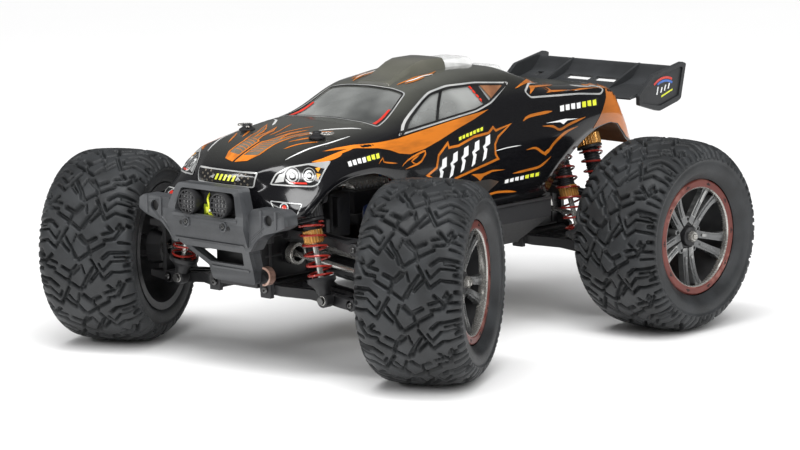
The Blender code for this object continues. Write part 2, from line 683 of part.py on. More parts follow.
def front_bumper():
    outline = mirrored_x([(0.0200, 0.0540), (0.0230, 0.0620), (0.0300, 0.0760), (0.0320, 0.0880),
                          (0.0310, 0.0980), (0.0260, 0.1130)])
    window = mirrored_x([(0.0265, 0.0980), (0.0232, 0.1090)])
    gap = mirrored_x([(0.0165, 0.0650), (0.0235, 0.0750)])
    plate = prism(outline, 0.0042, [window, gap])
    for vertex in plate.data.vertices:
        vertex.co.y += bumper_setback(vertex.co.z)
    parts = [box((-0.0120, -0.1500, 0.0545), (0.0120, -0.1420, 0.0600))]
    for s in (-1, 1):
        wing = [(s * 0.0295, 0.0960), (s * 0.0370, 0.1025), (s * 0.0600, 0.1035),
                (s * 0.0620, 0.0940), (s * 0.0430, 0.0880), (s * 0.0340, 0.0810), (s * 0.0290, 0.0770)]
        parts.append(moved(prism(wing, 0.0110), 0, -0.1580, 0))
    bores = [rod((s * 0.0490, -0.17, 0.0975), (s * 0.0490, -0.1560, 0.0975), 0.0032) for s in (-1, 1)]
    return cut(fuse(plate, *parts), *bores)


# ---------------------------------------------------------------- rear wing
def wing_blade():
    """The blade's section, front edge first, in (y, z)."""
    top = [(0.1600, 0.1400), (0.1780, 0.1418), (0.1920, 0.1435), (0.2020, 0.1480), (0.2085, 0.1545)]
    under = [(0.2100, 0.1525), (0.2035, 0.1455), (0.1930, 0.1410), (0.1780, 0.1392), (0.1600, 0.1375)]
    return top + under


def rear_wing():
    blade = prism(wing_blade(), 0.1180, plane="YZ")
    plate = [(0.1685, 0.1325), (0.1685, 0.1390), (0.1835, 0.1510), (0.2140, 0.1570), (0.2180, 0.1560),
             (0.2120, 0.1330), (0.1880, 0.1270)]
    ends = [moved(prism(plate, 0.0030, plane="YZ"), s * END_PLATE_X, 0, 0) for s in (-1, 1)]
    fin = [(0.1760, 0.1410), (0.1900, 0.1475), (0.2075, 0.1540), (0.2060, 0.1490), (0.1900, 0.1425)]
    fins = [moved(prism(fin, 0.0022, plane="YZ"), s * STRAKE_X, 0, 0) for s in (-1, 1)]
    slots = []
    for x, half, front, back in ((0.0110, 0.0080, 0.1935, 0.1985), (0.0480, 0.0040, 0.1920, 0.1965)):
        for s in (-1, 1):
            slots.append(box((s * x - half, front, 0.13), (s * x + half, back, 0.17)))
    return cut(fuse(blade, *ends, *fins), *slots)


# ---------------------------------------------------------------- body shell
# Each station across the shell, in millimetres: y, then (x, z) of the sill, flank, waist, rail and
# crown, and the z of the ridge.
MILLIMETRE = 0.001
SHELL_STATIONS = [
    (-149, (56, 98.5), (58, 102), (27, 111), (23.5, 121.5), (12, 122.5), 122.8),
    (-140, (61, 100), (62, 106), (42, 117), (29, 126), (14, 127.5), 127.8),
    (-128, (62, 108), (62.5, 113), (56, 121.5), (35, 131), (18, 132.8), 133),
    (-115, (61.5, 114.5), (62.2, 119), (57, 128), (40, 134.5), (20, 137), 137.2),
    (-100, (61.5, 117.5), (62, 121.5), (56.8, 131), (42, 136.7), (22, 139.5), 140),
    (-86, (61.5, 117.5), (62, 122), (56.5, 134), (43, 138.7), (24, 141.2), 141.8),
    (-70, (61.5, 113), (61.5, 120), (56, 136.5), (43, 140.8), (26, 142.5), 143),
    (-58, (61, 101), (61, 118), (55.3, 138.2), (42, 142), (27, 143), 143.4),
    (-44, (60.5, 89), (60, 116), (54.8, 139.5), (40.5, 147), (27, 147.5), 148),
    (-24, (60, 84.8), (59.5, 115), (54.5, 141.2), (37.5, 157), (25, 160), 160.5),
    (0, (60, 84), (59, 115), (54, 143.2), (42, 160.5), (27, 165.5), 166.8),
    (30, (60, 84), (58.8, 116), (54, 146), (43, 163.5), (27, 168), 169),
    (60, (60, 84.3), (58.8, 118), (54.2, 147.5), (43, 163), (26, 166), 166.8),
    (76, (60, 86), (59, 120), (54.8, 148.2), (43.5, 158.5), (26, 161), 161.2),
    (86, (60, 97.5), (59.5, 122), (55.2, 148.5), (44, 154), (26, 156), 156.5),
    (100, (60, 110), (60, 125), (56, 148.5), (46, 151.5), (26, 152.2), 152.5),
    (118, (60, 119), (60.3, 130), (56.5, 148.5), (46.5, 150.2), (26, 150), 150),
    (135, (60, 124), (60.3, 132), (56, 147.5), (46, 149.5), (26, 149), 149),
    (148, (59.5, 123.5), (59.7, 131), (55, 144), (45, 147.8), (26, 147.8), 147.8),
    (158, (58, 115), (58.5, 122), (54, 131), (44, 133.5), (26, 134), 134),
    (169, (54, 107), (53, 109), (50, 112), (42, 114), (26, 114.5), 114.5),
]


def body_shell():
    """The thin formed shell: a half skin lofted through its stations, mirrored and thickened."""
    bm = bmesh.new()
    rows = []
    for y, *points, ridge in SHELL_STATIONS:
        places = [(x, y, z) for x, z in points] + [(0, y, ridge)]
        rows.append([bm.verts.new(Vector(place) * MILLIMETRE) for place in places])
    for a, b in zip(rows, rows[1:]):
        for j in range(len(a) - 1):
            bm.faces.new((a[j], a[j + 1], b[j + 1], b[j]))
    nose_low = bm.verts.new((0, rows[0][0].co.y, NOSE_PANEL_BOTTOM))
    bm.faces.new((nose_low, *reversed(rows[0])))
    tail_low = bm.verts.new((0, rows[-1][0].co.y + MILLIMETRE, TAIL_PANEL_BOTTOM))
    bm.faces.new((tail_low, *rows[-1]))
    bmesh.ops.triangulate(bm, faces=bm.faces)
    bmesh.ops.recalc_face_normals(bm, faces=bm.faces)
    thing = from_bmesh(bm)
    mirror = thing.modifiers.new("mirror", "MIRROR")
    mirror.merge_threshold = 0.0001
    solidify = thing.modifiers.new("thickness", "SOLIDIFY")
    solidify.thickness = SHELL_THICKNESS
    solidify.offset = -1.0
    thing = evaluated(thing)
    post_y = FRONT_AXLE + POST.y
    holes = [rod((s * POST.x, post_y, 0.12), (s * POST.x, post_y, 0.16), POST_HOLE) for s in (-1, 1)]
    notch = box((-0.0190, 0.1400, 0.10), (0.0190, 0.1900, 0.1405))
    return cut(thing, *holes, notch)


# ---------------------------------------------------------------- electrics and centre shaft
def battery():
    return box((0.0090, -0.0440, 0.0670), (0.0450, 0.0440, 0.0890), 0.0025)


def motor():
    """The can with its boss and output shaft, which points at the spur gear."""
    half = MOTOR_HALF_LENGTH
    can = turned([(0, half), (MOTOR_RADIUS, half), (MOTOR_RADIUS, -half), (0.0060, -half),
                  (0.0060, -0.0260), (0.0016, -0.0260), (0.0016, -0.0340), (0, -0.0340)], 20, False)
    can.data.transform(Matrix.Translation(MOTOR_CENTRE) @ Matrix.Rotation(math.pi / 2, 4, "X"))
    return can


def steering_servo():
    body = box((-0.0230, -0.0700, 0.0700), (0.0090, -0.0520, 0.0980), 0.0010)
    ears = box((-0.0270, -0.0680, 0.0780), (0.0130, -0.0655, 0.0960))
    spline = rod((SERVO_AXIS.x, -0.0690, SERVO_AXIS.z), (SERVO_AXIS.x, -0.0735, SERVO_AXIS.z), 0.0030)
    return fuse(body, ears, spline)


def horn_tip():
    return SERVO_AXIS + HORN_LENGTH * Vector((math.sin(HORN_REST), 0, -math.cos(HORN_REST)))


def servo_horn():
    """The servo's lever, whose peg stands between the steering link's two ears."""
    tip = horn_tip()
    y0, y1 = HORN_FRONT_Y, HORN_BACK_Y
    boss = rod((SERVO_AXIS.x, y0, SERVO_AXIS.z), (SERVO_AXIS.x, y1, SERVO_AXIS.z), 0.0042)
    along = (tip - SERVO_AXIS).normalized()
    across = Vector((along.z, 0, -along.x)) * HORN_HALF_WIDTH
    ends = [SERVO_AXIS + along * 0.003, tip]
    outline = [ends[0] - across, ends[1] - across, ends[1] + across, ends[0] + across]
    bar = moved(prism([(p.x, p.z) for p in outline], y1 - y0), 0, (y0 + y1) / 2, 0)
    peg = rod((tip.x, -0.0820, tip.z), (tip.x, y1, tip.z), HORN_HALF_WIDTH)
    return fuse(boss, bar, peg)


def steering_link():
    """The bar that the servo pushes from side to side, with a fork for each tie rod."""
    y = FRONT_AXLE + LINK_Y
    mid = -LINK_TRAVEL / 2           # the bar stands this far from the centre at rest

    def block(x, half_x, y0, y1, z0=LINK_BOTTOM, z1=LINK_TOP):
        return box((x - half_x, y + y0, z0), (x + half_x, y + y1, z1))

    parts = []
    for s in (-1, 1):
        for t in (-1, 1):
            cheek = t * 0.0036
            parts.append(block(mid + s * 0.0165, 0.0047, cheek - 0.0008, cheek + 0.0008))
        pin_x = mid + s * LINK_PIN_X
        parts.append(rod((pin_x, y - 0.0040, LINK_Z), (pin_x, y + 0.0040, LINK_Z), 0.0009))
        parts.append(block(mid + s * 0.0125, 0.0012, -0.0044, 0.0044))
        parts.append(block(horn_tip().x + s * 0.0034, 0.0010, 0.0, 0.0030, 0.0670, 0.0780))
    return fuse(block(mid, 0.0130, -0.0030, 0.0030), *parts)


def tie_rod(side):
    """The rod from the steering link's fork to the knuckle's arm, and the place of its inner eye."""
    inner = Vector((-LINK_TRAVEL / 2 + side * LINK_PIN_X, FRONT_AXLE + LINK_Y, LINK_Z))
    arm_end = Vector((KINGPIN_X, STEERING_ARM, TIE_BALL_Z))
    ball = steered_matrix(side, FRONT_AXLE, STEER_ANGLE[side]) @ arm_end
    eye_half = Vector((0, 0.0023, 0))
    ball_half = Vector((0, 0, 0.0020))
    cutter_half = Vector((0, THROUGH, 0))
    eye = rod(inner - eye_half, inner + eye_half, 0.0030)
    hole = rod(inner - cutter_half, inner + cutter_half, 0.0014)
    along = (ball - inner).normalized()
    bar = rod(inner + along * 0.0020, ball, 0.0016, 10)
    end = rod(ball - ball_half, ball + ball_half, 0.0036)
    return cut(fuse(eye, bar, end), hole), inner


def centre_shaft():
    """The shaft between both gearboxes, with the spur gear on it."""
    y0, y1 = FRONT_AXLE + SHAFT_END, REAR_AXLE - SHAFT_END
    shaft = rod((0, y0, SHAFT_Z), (0, y1, SHAFT_Z), 0.0024)
    gear = rod((0, SPUR_GEAR_Y - 0.0020, SHAFT_Z), (0, SPUR_GEAR_Y + 0.0020, SHAFT_Z), 0.0060, 18)
    return fuse(shaft, gear)


# ---------------------------------------------------------------- the truck
def build_truck():
    at_front = Matrix.Translation((0, FRONT_AXLE, 0))
    at_rear = Matrix.Translation((0, REAR_AXLE, 0))
    piece(chassis(), "chassis", "black_plastic")
    piece(gearbox(1), "front_gearbox", "black_plastic", at_front)
    piece(gearbox(-1), "rear_gearbox", "black_plastic", at_rear)
    piece(front_tower(), "front_shock_tower", "black_plastic", at_front)
    piece(rear_tower(), "rear_shock_tower", "black_plastic", at_rear)
    piece(front_bumper(), "front_bumper", "grey_plastic")
    piece(rear_wing(), "rear_wing", "grey_plastic")
    piece(body_shell(), "body_shell", "body_paint")
    piece(battery(), "battery", "battery_sleeve")
    piece(motor(), "motor", "motor_can")
    piece(steering_servo(), "steering_servo", "black_plastic")
    piece(servo_horn(), "servo_horn", "grey_plastic", pivot=SERVO_AXIS)
    piece(steering_link(), "steering_link", "black_plastic")
    piece(centre_shaft(), "centre_shaft", "bright_steel", pivot=(0, 0, SHAFT_Z))
    for side, hand in ((1, "left"), (-1, "right")):
        bar, pivot = tie_rod(side)
        piece(bar, hand + "_tie_rod", "bright_steel", pivot=pivot)
        build_corner("front_" + hand, side, FRONT_AXLE, FRONT_SHOCK, [-SHOCK_OFFSET],
                     STEER_ANGLE[side])
        build_corner("rear_" + hand, side, REAR_AXLE, REAR_SHOCK, [-SHOCK_OFFSET, SHOCK_OFFSET], 0)


clear_scene()
TRUCK = bpy.data.collections.new("rc_monster_truck")
bpy.context.scene.collection.children.link(TRUCK)
FRAME = bpy.data.objects.new("truck_frame", None)
TRUCK.objects.link(FRAME)
MATERIALS = {name: make_material(name) for name in COLOURS}
build_truck()
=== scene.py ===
"""Looks of the RC monster truck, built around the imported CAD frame.

The drawing functions work in millimetres in the truck's own axes: +X to its left, -Y to its
front, +Z up, with y = 0 midway between the axles. Part.make() puts a piece into the row frame.
"""
import json
import math

import bmesh
import bpy
import numpy as np
from mathutils import Matrix, Vector
from mathutils.bvhtree import BVHTree
from mathutils.geometry import tessellate_polygon


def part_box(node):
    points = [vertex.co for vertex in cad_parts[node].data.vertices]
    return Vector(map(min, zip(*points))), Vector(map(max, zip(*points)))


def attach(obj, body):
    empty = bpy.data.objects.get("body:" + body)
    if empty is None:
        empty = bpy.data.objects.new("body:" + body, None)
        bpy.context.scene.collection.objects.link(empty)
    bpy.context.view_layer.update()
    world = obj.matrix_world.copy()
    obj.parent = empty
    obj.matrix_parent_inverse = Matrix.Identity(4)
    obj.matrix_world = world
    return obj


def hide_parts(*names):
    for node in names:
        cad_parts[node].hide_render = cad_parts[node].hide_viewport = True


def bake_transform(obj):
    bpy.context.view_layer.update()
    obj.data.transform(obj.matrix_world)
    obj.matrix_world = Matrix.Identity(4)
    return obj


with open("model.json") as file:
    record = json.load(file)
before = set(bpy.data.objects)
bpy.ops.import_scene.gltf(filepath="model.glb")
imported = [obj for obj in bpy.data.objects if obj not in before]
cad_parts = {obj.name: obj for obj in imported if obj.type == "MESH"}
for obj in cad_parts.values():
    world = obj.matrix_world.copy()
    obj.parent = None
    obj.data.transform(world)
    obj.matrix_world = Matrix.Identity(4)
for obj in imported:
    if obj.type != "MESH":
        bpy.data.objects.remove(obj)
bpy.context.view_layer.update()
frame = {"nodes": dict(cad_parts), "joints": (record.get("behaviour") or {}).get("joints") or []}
NODES = frame["nodes"]
JOINTS = {joint["name"]: joint for joint in frame["joints"]}

# ---------------------------------------------------------------- sizes taken from the frame
MM = 0.001
AXLE_Y = {end: JOINTS[end + "_left_suspension"]["pos_m"][1] / MM for end in ("front", "rear")}
MID_Y = (AXLE_Y["front"] + AXLE_Y["rear"]) / 2
FRONT = AXLE_Y["front"] - MID_Y
REAR = AXLE_Y["rear"] - MID_Y
SIDES = (("left", 1), ("right", -1))
CORNERS = [(end, hand, side) for end in ("front", "rear") for hand, side in SIDES]
TO_ROW = Matrix.Translation((0, MID_Y * MM, 0)) @ Matrix.Scale(MM, 4)
IDENTITY = Matrix.Identity(4)


def joint_point(name):
    """A joint's position in the truck's axes, in millimetres."""
    x, y, z = JOINTS[name]["pos_m"]
    return Vector((x / MM, y / MM - MID_Y, z / MM))


def node_box(name):
    low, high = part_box(name)
    return (Vector((low[0] / MM, low[1] / MM - MID_Y, low[2] / MM)),
            Vector((high[0] / MM, high[1] / MM - MID_Y, high[2] / MM)))


# ---------------------------------------------------------------- materials
def node(tree, kind, settings=None, **inputs):
    made = tree.nodes.new(kind)
    for key, value in (settings or {}).items():
        setattr(made, key, value)
    for key, value in inputs.items():
        socket = made.inputs[int(key[1:]) if key[1:].isdigit() else key.replace("_", " ")]
        if isinstance(value, bpy.types.NodeSocket):
            tree.links.new(value, socket)
        else:
            socket.default_value = value
    return made


def rgba(colour):
    return (*colour, 1.0)


def new_material(name):
    material = bpy.data.materials.new(name)
    material.use_nodes = True
    tree = material.node_tree
    shader = tree.nodes["Principled BSDF"]
    place = node(tree, "ShaderNodeTexCoord").outputs["Object"]
    return material, tree, shader, place


def noise(tree, place, scale, detail=3.0):
    return node(tree, "ShaderNodeTexNoise", Vector=place, Scale=scale, Detail=detail).outputs["Fac"]


def spread(tree, value, low, high, start=0.0, end=1.0):
    """value, from start to end, mapped to low to high and held there beyond."""
    return node(tree, "ShaderNodeMapRange", Value=value, i1=start, i2=end, i3=low, i4=high).outputs[0]


def mix_colour(tree, factor, first, second, blend="MIX"):
    made = node(tree, "ShaderNodeMix", {"data_type": "RGBA", "blend_type": blend}, i0=factor)
    for index, value in ((6, first), (7, second)):
        if isinstance(value, bpy.types.NodeSocket):
            tree.links.new(value, made.inputs[index])
        else:
            made.inputs[index].default_value = rgba(value)
    return made.outputs[2]


PLASTIC_IOR = 1.45


def surface(name, dark, light, rough, metallic=0.0, grain=900.0, bump=0.05, blotch=60.0, edge=None,
            coat=0.0):
    """A moulded or finished surface: blotchy colour, fine grain and, if edge is given, a painted highlight
    that pales its sharp edges towards that colour.
    """
    material, tree, shader, place = new_material(name)
    broad = noise(tree, place, blotch)
    fine = noise(tree, place, grain, 2.0)
    colour = mix_colour(tree, spread(tree, broad, 0, 1, 0.35, 0.65), dark, light)
    if edge:
        # Painted highlight: sharp edges, found by pointiness, are paled towards the edge colour.
        edge_highlight_mask = node(tree, "ShaderNodeNewGeometry").outputs["Pointiness"]
        colour = mix_colour(tree, spread(tree, edge_highlight_mask, 0, 0.8, 0.52, 0.60), colour, edge)
    tree.links.new(colour, shader.inputs["Base Color"])
    tree.links.new(spread(tree, fine, rough[0], rough[1], 0.3, 0.7), shader.inputs["Roughness"])
    shader.inputs["Metallic"].default_value = metallic
    shader.inputs["IOR"].default_value = PLASTIC_IOR
    if coat:
        shader.inputs["Coat Weight"].default_value = coat
        shader.inputs["Coat Roughness"].default_value = 0.04
    if bump:
        relief = node(tree, "ShaderNodeBump", Strength=bump, Distance=0.0004, Height=fine)
        tree.links.new(relief.outputs["Normal"], shader.inputs["Normal"])
    return material


def faded(name, near, far, start, end, rough=(0.10, 0.16), streaks=0.25):
    """A gloss film whose colour runs from near to far along the truck, with soft airbrushed streaks."""
    material, tree, shader, place = new_material(name)
    parts = node(tree, "ShaderNodeSeparateXYZ", Vector=place).outputs
    along = spread(tree, parts["Y"], 0, 1, (start + MID_Y) * MM, (end + MID_Y) * MM)
    colour = mix_colour(tree, along, near, far)
    stretched = node(tree, "ShaderNodeMapping", Vector=place, Scale=(300, 40, 220)).outputs[0]
    shade = noise(tree, stretched, 1.0, 4.0)
    colour = mix_colour(tree, spread(tree, shade, 0, streaks, 0.45, 0.75), colour, (0.05, 0.02, 0.008))
    tree.links.new(colour, shader.inputs["Base Color"])
    tree.links.new(spread(tree, noise(tree, place, 500), rough[0], rough[1]), shader.inputs["Roughness"])
    shader.inputs["Coat Weight"].default_value = 0.6
    shader.inputs["Coat Roughness"].default_value = 0.05
    return material


def body_paint():
    """Gloss black under clear sheet with a fine metal flake; a painted reflection of the sky makes it greyer
    over the bonnet and roof.
    """
    material, tree, shader, place = new_material("body_black")
    parts = node(tree, "ShaderNodeSeparateXYZ", Vector=place).outputs
    # Painted reflection of the sky: high up and near the middle, over the bonnet and roof, the black is
    # mixed towards grey.
    height = spread(tree, parts["Z"], 0, 1, 122 * MM, 150 * MM)
    aside = node(tree, "ShaderNodeMath", {"operation": "ABSOLUTE"}, i0=parts["X"]).outputs[0]
    middle = spread(tree, aside, 1, 0, 30 * MM, 52 * MM)
    top = node(tree, "ShaderNodeMath", {"operation": "MULTIPLY"}, i0=height, i1=middle).outputs[0]
    flake = node(tree, "ShaderNodeTexVoronoi", Vector=place, Scale=2600.0).outputs["Distance"]
    speck = spread(tree, flake, 0.6, 0, 0.0, 0.35)
    black = mix_colour(tree, speck, (0.004, 0.004, 0.005), (0.022, 0.022, 0.022))
    grey = mix_colour(tree, noise(tree, place, 35), (0.040, 0.042, 0.036), (0.085, 0.086, 0.074))
    tree.links.new(mix_colour(tree, top, black, grey), shader.inputs["Base Color"])
    tree.links.new(spread(tree, noise(tree, place, 90), 0.10, 0.20), shader.inputs["Roughness"])
    wave = node(tree, "ShaderNodeBump", Strength=0.12, Distance=0.002, Height=noise(tree, place, 22))
    tree.links.new(wave.outputs["Normal"], shader.inputs["Normal"])
    shader.inputs["Coat Weight"].default_value = 0.4
    shader.inputs["Coat Roughness"].default_value = 0.03
    shader.inputs["Specular IOR Level"].default_value = 0.35
    return material


def clear_sheet(name, colours, cover, blotch=60):
    """Thin clear sheet; cover is how much of what lies behind it is hidden, at least and at most."""
    material, tree, shader, place = new_material(name)
    haze = noise(tree, place, blotch)
    tone = spread(tree, haze, 0, 1, 0.38, 0.62)
    tree.links.new(mix_colour(tree, tone, *colours), shader.inputs["Base Color"])
    tree.links.new(spread(tree, haze, 0.03, 0.10), shader.inputs["Roughness"])
    tree.links.new(spread(tree, haze, *cover, 0.35, 0.65), shader.inputs["Alpha"])
    return material


# Every edge colour below is a painted highlight on sharp edges.
MATS = {
    "black": surface("black_plastic", (0.008, 0.008, 0.009), (0.015, 0.015, 0.016), (0.36, 0.48),
                     edge=(0.045, 0.045, 0.047)),
    "grey": surface("grey_plastic", (0.026, 0.028, 0.031), (0.040, 0.042, 0.046), (0.42, 0.55), bump=0.12,
                    edge=(0.085, 0.088, 0.092)),
    "rubber": surface("tyre_rubber", (0.014, 0.015, 0.016), (0.026, 0.028, 0.030), (0.42, 0.58), grain=1400,
                      bump=0.12, edge=(0.055, 0.059, 0.061)),
    "gunmetal": surface("rim_gunmetal", (0.10, 0.103, 0.105), (0.16, 0.163, 0.165), (0.24, 0.29),
                        metallic=0.65, grain=120, bump=0, edge=(0.42, 0.42, 0.41)),
    "barrel": surface("rim_barrel", (0.035, 0.036, 0.038), (0.06, 0.06, 0.062), (0.30, 0.42), metallic=0.6),
    "lip": surface("rim_lip", (0.34, 0.33, 0.31), (0.48, 0.47, 0.44), (0.20, 0.30), metallic=0.7,
                   bump=0.02),
    "bead": surface("bead_ring", (0.115, 0.026, 0.020), (0.155, 0.040, 0.031), (0.30, 0.38), metallic=0.25,
                    grain=120, bump=0, edge=(0.25, 0.10, 0.08)),
    "dark": surface("dark_socket", (0.004, 0.004, 0.004), (0.009, 0.009, 0.009), (0.5, 0.6), bump=0),
    "steel": surface("bright_steel", (0.55, 0.54, 0.51), (0.72, 0.71, 0.68), (0.16, 0.24), metallic=0.75,
                     grain=120, bump=0),
    "dark_steel": surface("dark_steel", (0.10, 0.10, 0.10), (0.18, 0.18, 0.175), (0.28, 0.40), metallic=0.9,
                          bump=0.02),
    "bronze": surface("bronze_pane", (0.16, 0.070, 0.035), (0.34, 0.155, 0.075), (0.10, 0.18), bump=0,
                      coat=0.6),
    "wing": surface("wing_plastic", (0.014, 0.015, 0.016), (0.022, 0.023, 0.025), (0.36, 0.48),
                    edge=(0.05, 0.053, 0.056)),
    "dark_red": surface("rear_spring_red", (0.13, 0.010, 0.008), (0.22, 0.018, 0.012), (0.18, 0.28),
                        metallic=0.2, bump=0, coat=0.6),
    "red": surface("spring_red", (0.24, 0.016, 0.012), (0.38, 0.030, 0.020), (0.18, 0.28), metallic=0.2,
                   bump=0, coat=0.6),
    "gold": surface("gold_anodised", (0.58, 0.25, 0.05), (0.78, 0.40, 0.11), (0.18, 0.26), metallic=0.7,
                    grain=120, bump=0, edge=(0.95, 0.70, 0.35)),
    "copper": surface("copper_strap", (0.16, 0.075, 0.050), (0.28, 0.14, 0.10), (0.26, 0.38), metallic=0.6,
                      edge=(0.50, 0.38, 0.32)),
    "paint": body_paint(),
    "lining": faded("shell_lining", (0.030, 0.028, 0.026), (0.36, 0.165, 0.075), 20, 85, rough=(0.35, 0.5),
                    streaks=0.1),
    "orange": faded("orange_film", (0.66, 0.185, 0.012), (0.36, 0.115, 0.016), -90, 150, streaks=0.5),
    "tail_orange": faded("tail_orange", (0.13, 0.050, 0.018), (0.52, 0.150, 0.018), 112, 150, streaks=0.15),
    "silver": surface("silver_film", (0.34, 0.35, 0.35), (0.50, 0.50, 0.49), (0.16, 0.24), metallic=0.25,
                      bump=0, coat=0.5),
    "white": surface("white_film", (0.72, 0.73, 0.73), (0.86, 0.86, 0.85), (0.18, 0.26), bump=0, coat=0.5),
    "ink": surface("black_film", (0.006, 0.006, 0.006), (0.014, 0.014, 0.014), (0.12, 0.2), bump=0,
                   coat=0.8),
    "yellow": surface("yellow_film", (0.62, 0.66, 0.03), (0.74, 0.78, 0.06), (0.2, 0.3), bump=0, coat=0.4),
    "red_film": surface("red_film", (0.50, 0.020, 0.012), (0.62, 0.035, 0.018), (0.15, 0.22), bump=0,
                        coat=0.6),
    "amber": surface("amber_film", (0.75, 0.28, 0.02), (0.85, 0.40, 0.05), (0.15, 0.22), bump=0, coat=0.6),
    "olive": surface("roof_olive", (0.075, 0.075, 0.060), (0.115, 0.112, 0.092), (0.14, 0.22), bump=0.02,
                     blotch=25, coat=0.9),
    "mesh_grey": surface("fine_hatch", (0.10, 0.085, 0.065), (0.16, 0.14, 0.11), (0.2, 0.3), grain=2500,
                         bump=0.2),
    "clear": clear_sheet("clear_fin", ((0.70, 0.71, 0.70), (0.92, 0.92, 0.91)), (0.30, 0.48)),
    "glass": clear_sheet("smoked_pane", ((0.035, 0.038, 0.038), (0.33, 0.34, 0.33)), (0.45, 0.72), 14),
    "green": surface("board_green", (0.16, 0.22, 0.012), (0.24, 0.32, 0.02), (0.25, 0.35), bump=0.05,
                     coat=0.4),
    "blue": surface("blue_film", (0.03, 0.10, 0.36), (0.05, 0.15, 0.50), (0.18, 0.26), bump=0, coat=0.4),
    "battery": surface("battery_sleeve", (0.02, 0.04, 0.16), (0.03, 0.06, 0.22), (0.25, 0.35), coat=0.3),
    "can": surface("motor_can", (0.36, 0.36, 0.37), (0.46, 0.46, 0.47), (0.3, 0.4), metallic=0.9),
    "tan": surface("tan_plate", (0.30, 0.26, 0.20), (0.42, 0.37, 0.29), (0.4, 0.5)),
}


# ---------------------------------------------------------------- drawing helpers, in millimetres
def add_object(name, data):
    made = bpy.data.objects.new(name, data)
    bpy.context.scene.collection.objects.link(made)
    return made


def pointing(place, along):
    """Maps a drawing's Z onto a direction, from a place."""
    return Matrix.Translation(place) @ Vector(along).to_track_quat("Z", "Y").to_matrix().to_4x4()


def facing_front(x, y, z):
    """Maps a drawing's Z onto the truck's forward direction, from a place."""
    return Matrix.Translation((x, y, z)) @ Matrix.Rotation(math.pi / 2, 4, "X")


def arc(cx, cy, radius, start, end, steps):
    return [(cx + radius * math.cos(a), cy + radius * math.sin(a))
            for a in (math.radians(start + (end - start) * i / steps) for i in range(steps + 1))]


def circle(cx, cy, radius, steps=16):
    return arc(cx, cy, radius, 0, 360, steps)[:-1]


def rounded(points, radius, steps=3):
    """A closed outline with every corner rounded."""
    out = []
    points = [Vector(p) for p in points]
    for i, corner in enumerate(points):
        before, after = points[i - 1] - corner, points[(i + 1) % len(points)] - corner
        reach = min(radius, before.length * 0.45, after.length * 0.45)
        a, b = corner + before.normalized() * reach, corner + after.normalized() * reach
        for k in range(steps + 1):
            t = k / steps
            out.append(tuple(a * (1 - t) ** 2 + corner * (2 * t * (1 - t)) + b * t * t))
    return out


def mirrored(points):
    """The +X half of an outline followed by its mirror image, in reverse order."""
    return points + [(-x, z) for x, z in reversed(points) if abs(x) > 1e-6]


def smooth_line(points, step=2.0, closed=False):
    """A Catmull-Rom curve through points of any dimension, sampled about every step."""
    points = [Vector(p) for p in points]
    count = len(points)
    out = []
    for i in range(count if closed else count - 1):
        if closed:
            p0, p1, p2, p3 = (points[(i + k) % count] for k in (-1, 0, 1, 2))
        else:
            p0, p1, p2, p3 = (points[min(max(i + k, 0), count - 1)] for k in (-1, 0, 1, 2))
        pieces = max(1, round((p2 - p1).length / step))
        for k in range(pieces):
            t = k / pieces
            out.append(0.5 * ((2 * p1) + (p2 - p0) * t + (2 * p0 - 5 * p1 + 4 * p2 - p3) * t * t
                              + (3 * p1 - p0 - 3 * p2 + p3) * t ** 3))
    if not closed:
        out.append(points[-1])
    return out


# How a drawing's X, Y and Z lie on the truck for each plane it can be drawn on.
PLANE_TURNS = {"XY": IDENTITY,
               "XZ": Matrix(((1, 0, 0, 0), (0, 0, 1, 0), (0, 1, 0, 0), (0, 0, 0, 1))),
               "YZ": Matrix(((0, 0, 1, 0), (1, 0, 0, 0), (0, 1, 0, 0), (0, 0, 0, 1)))}


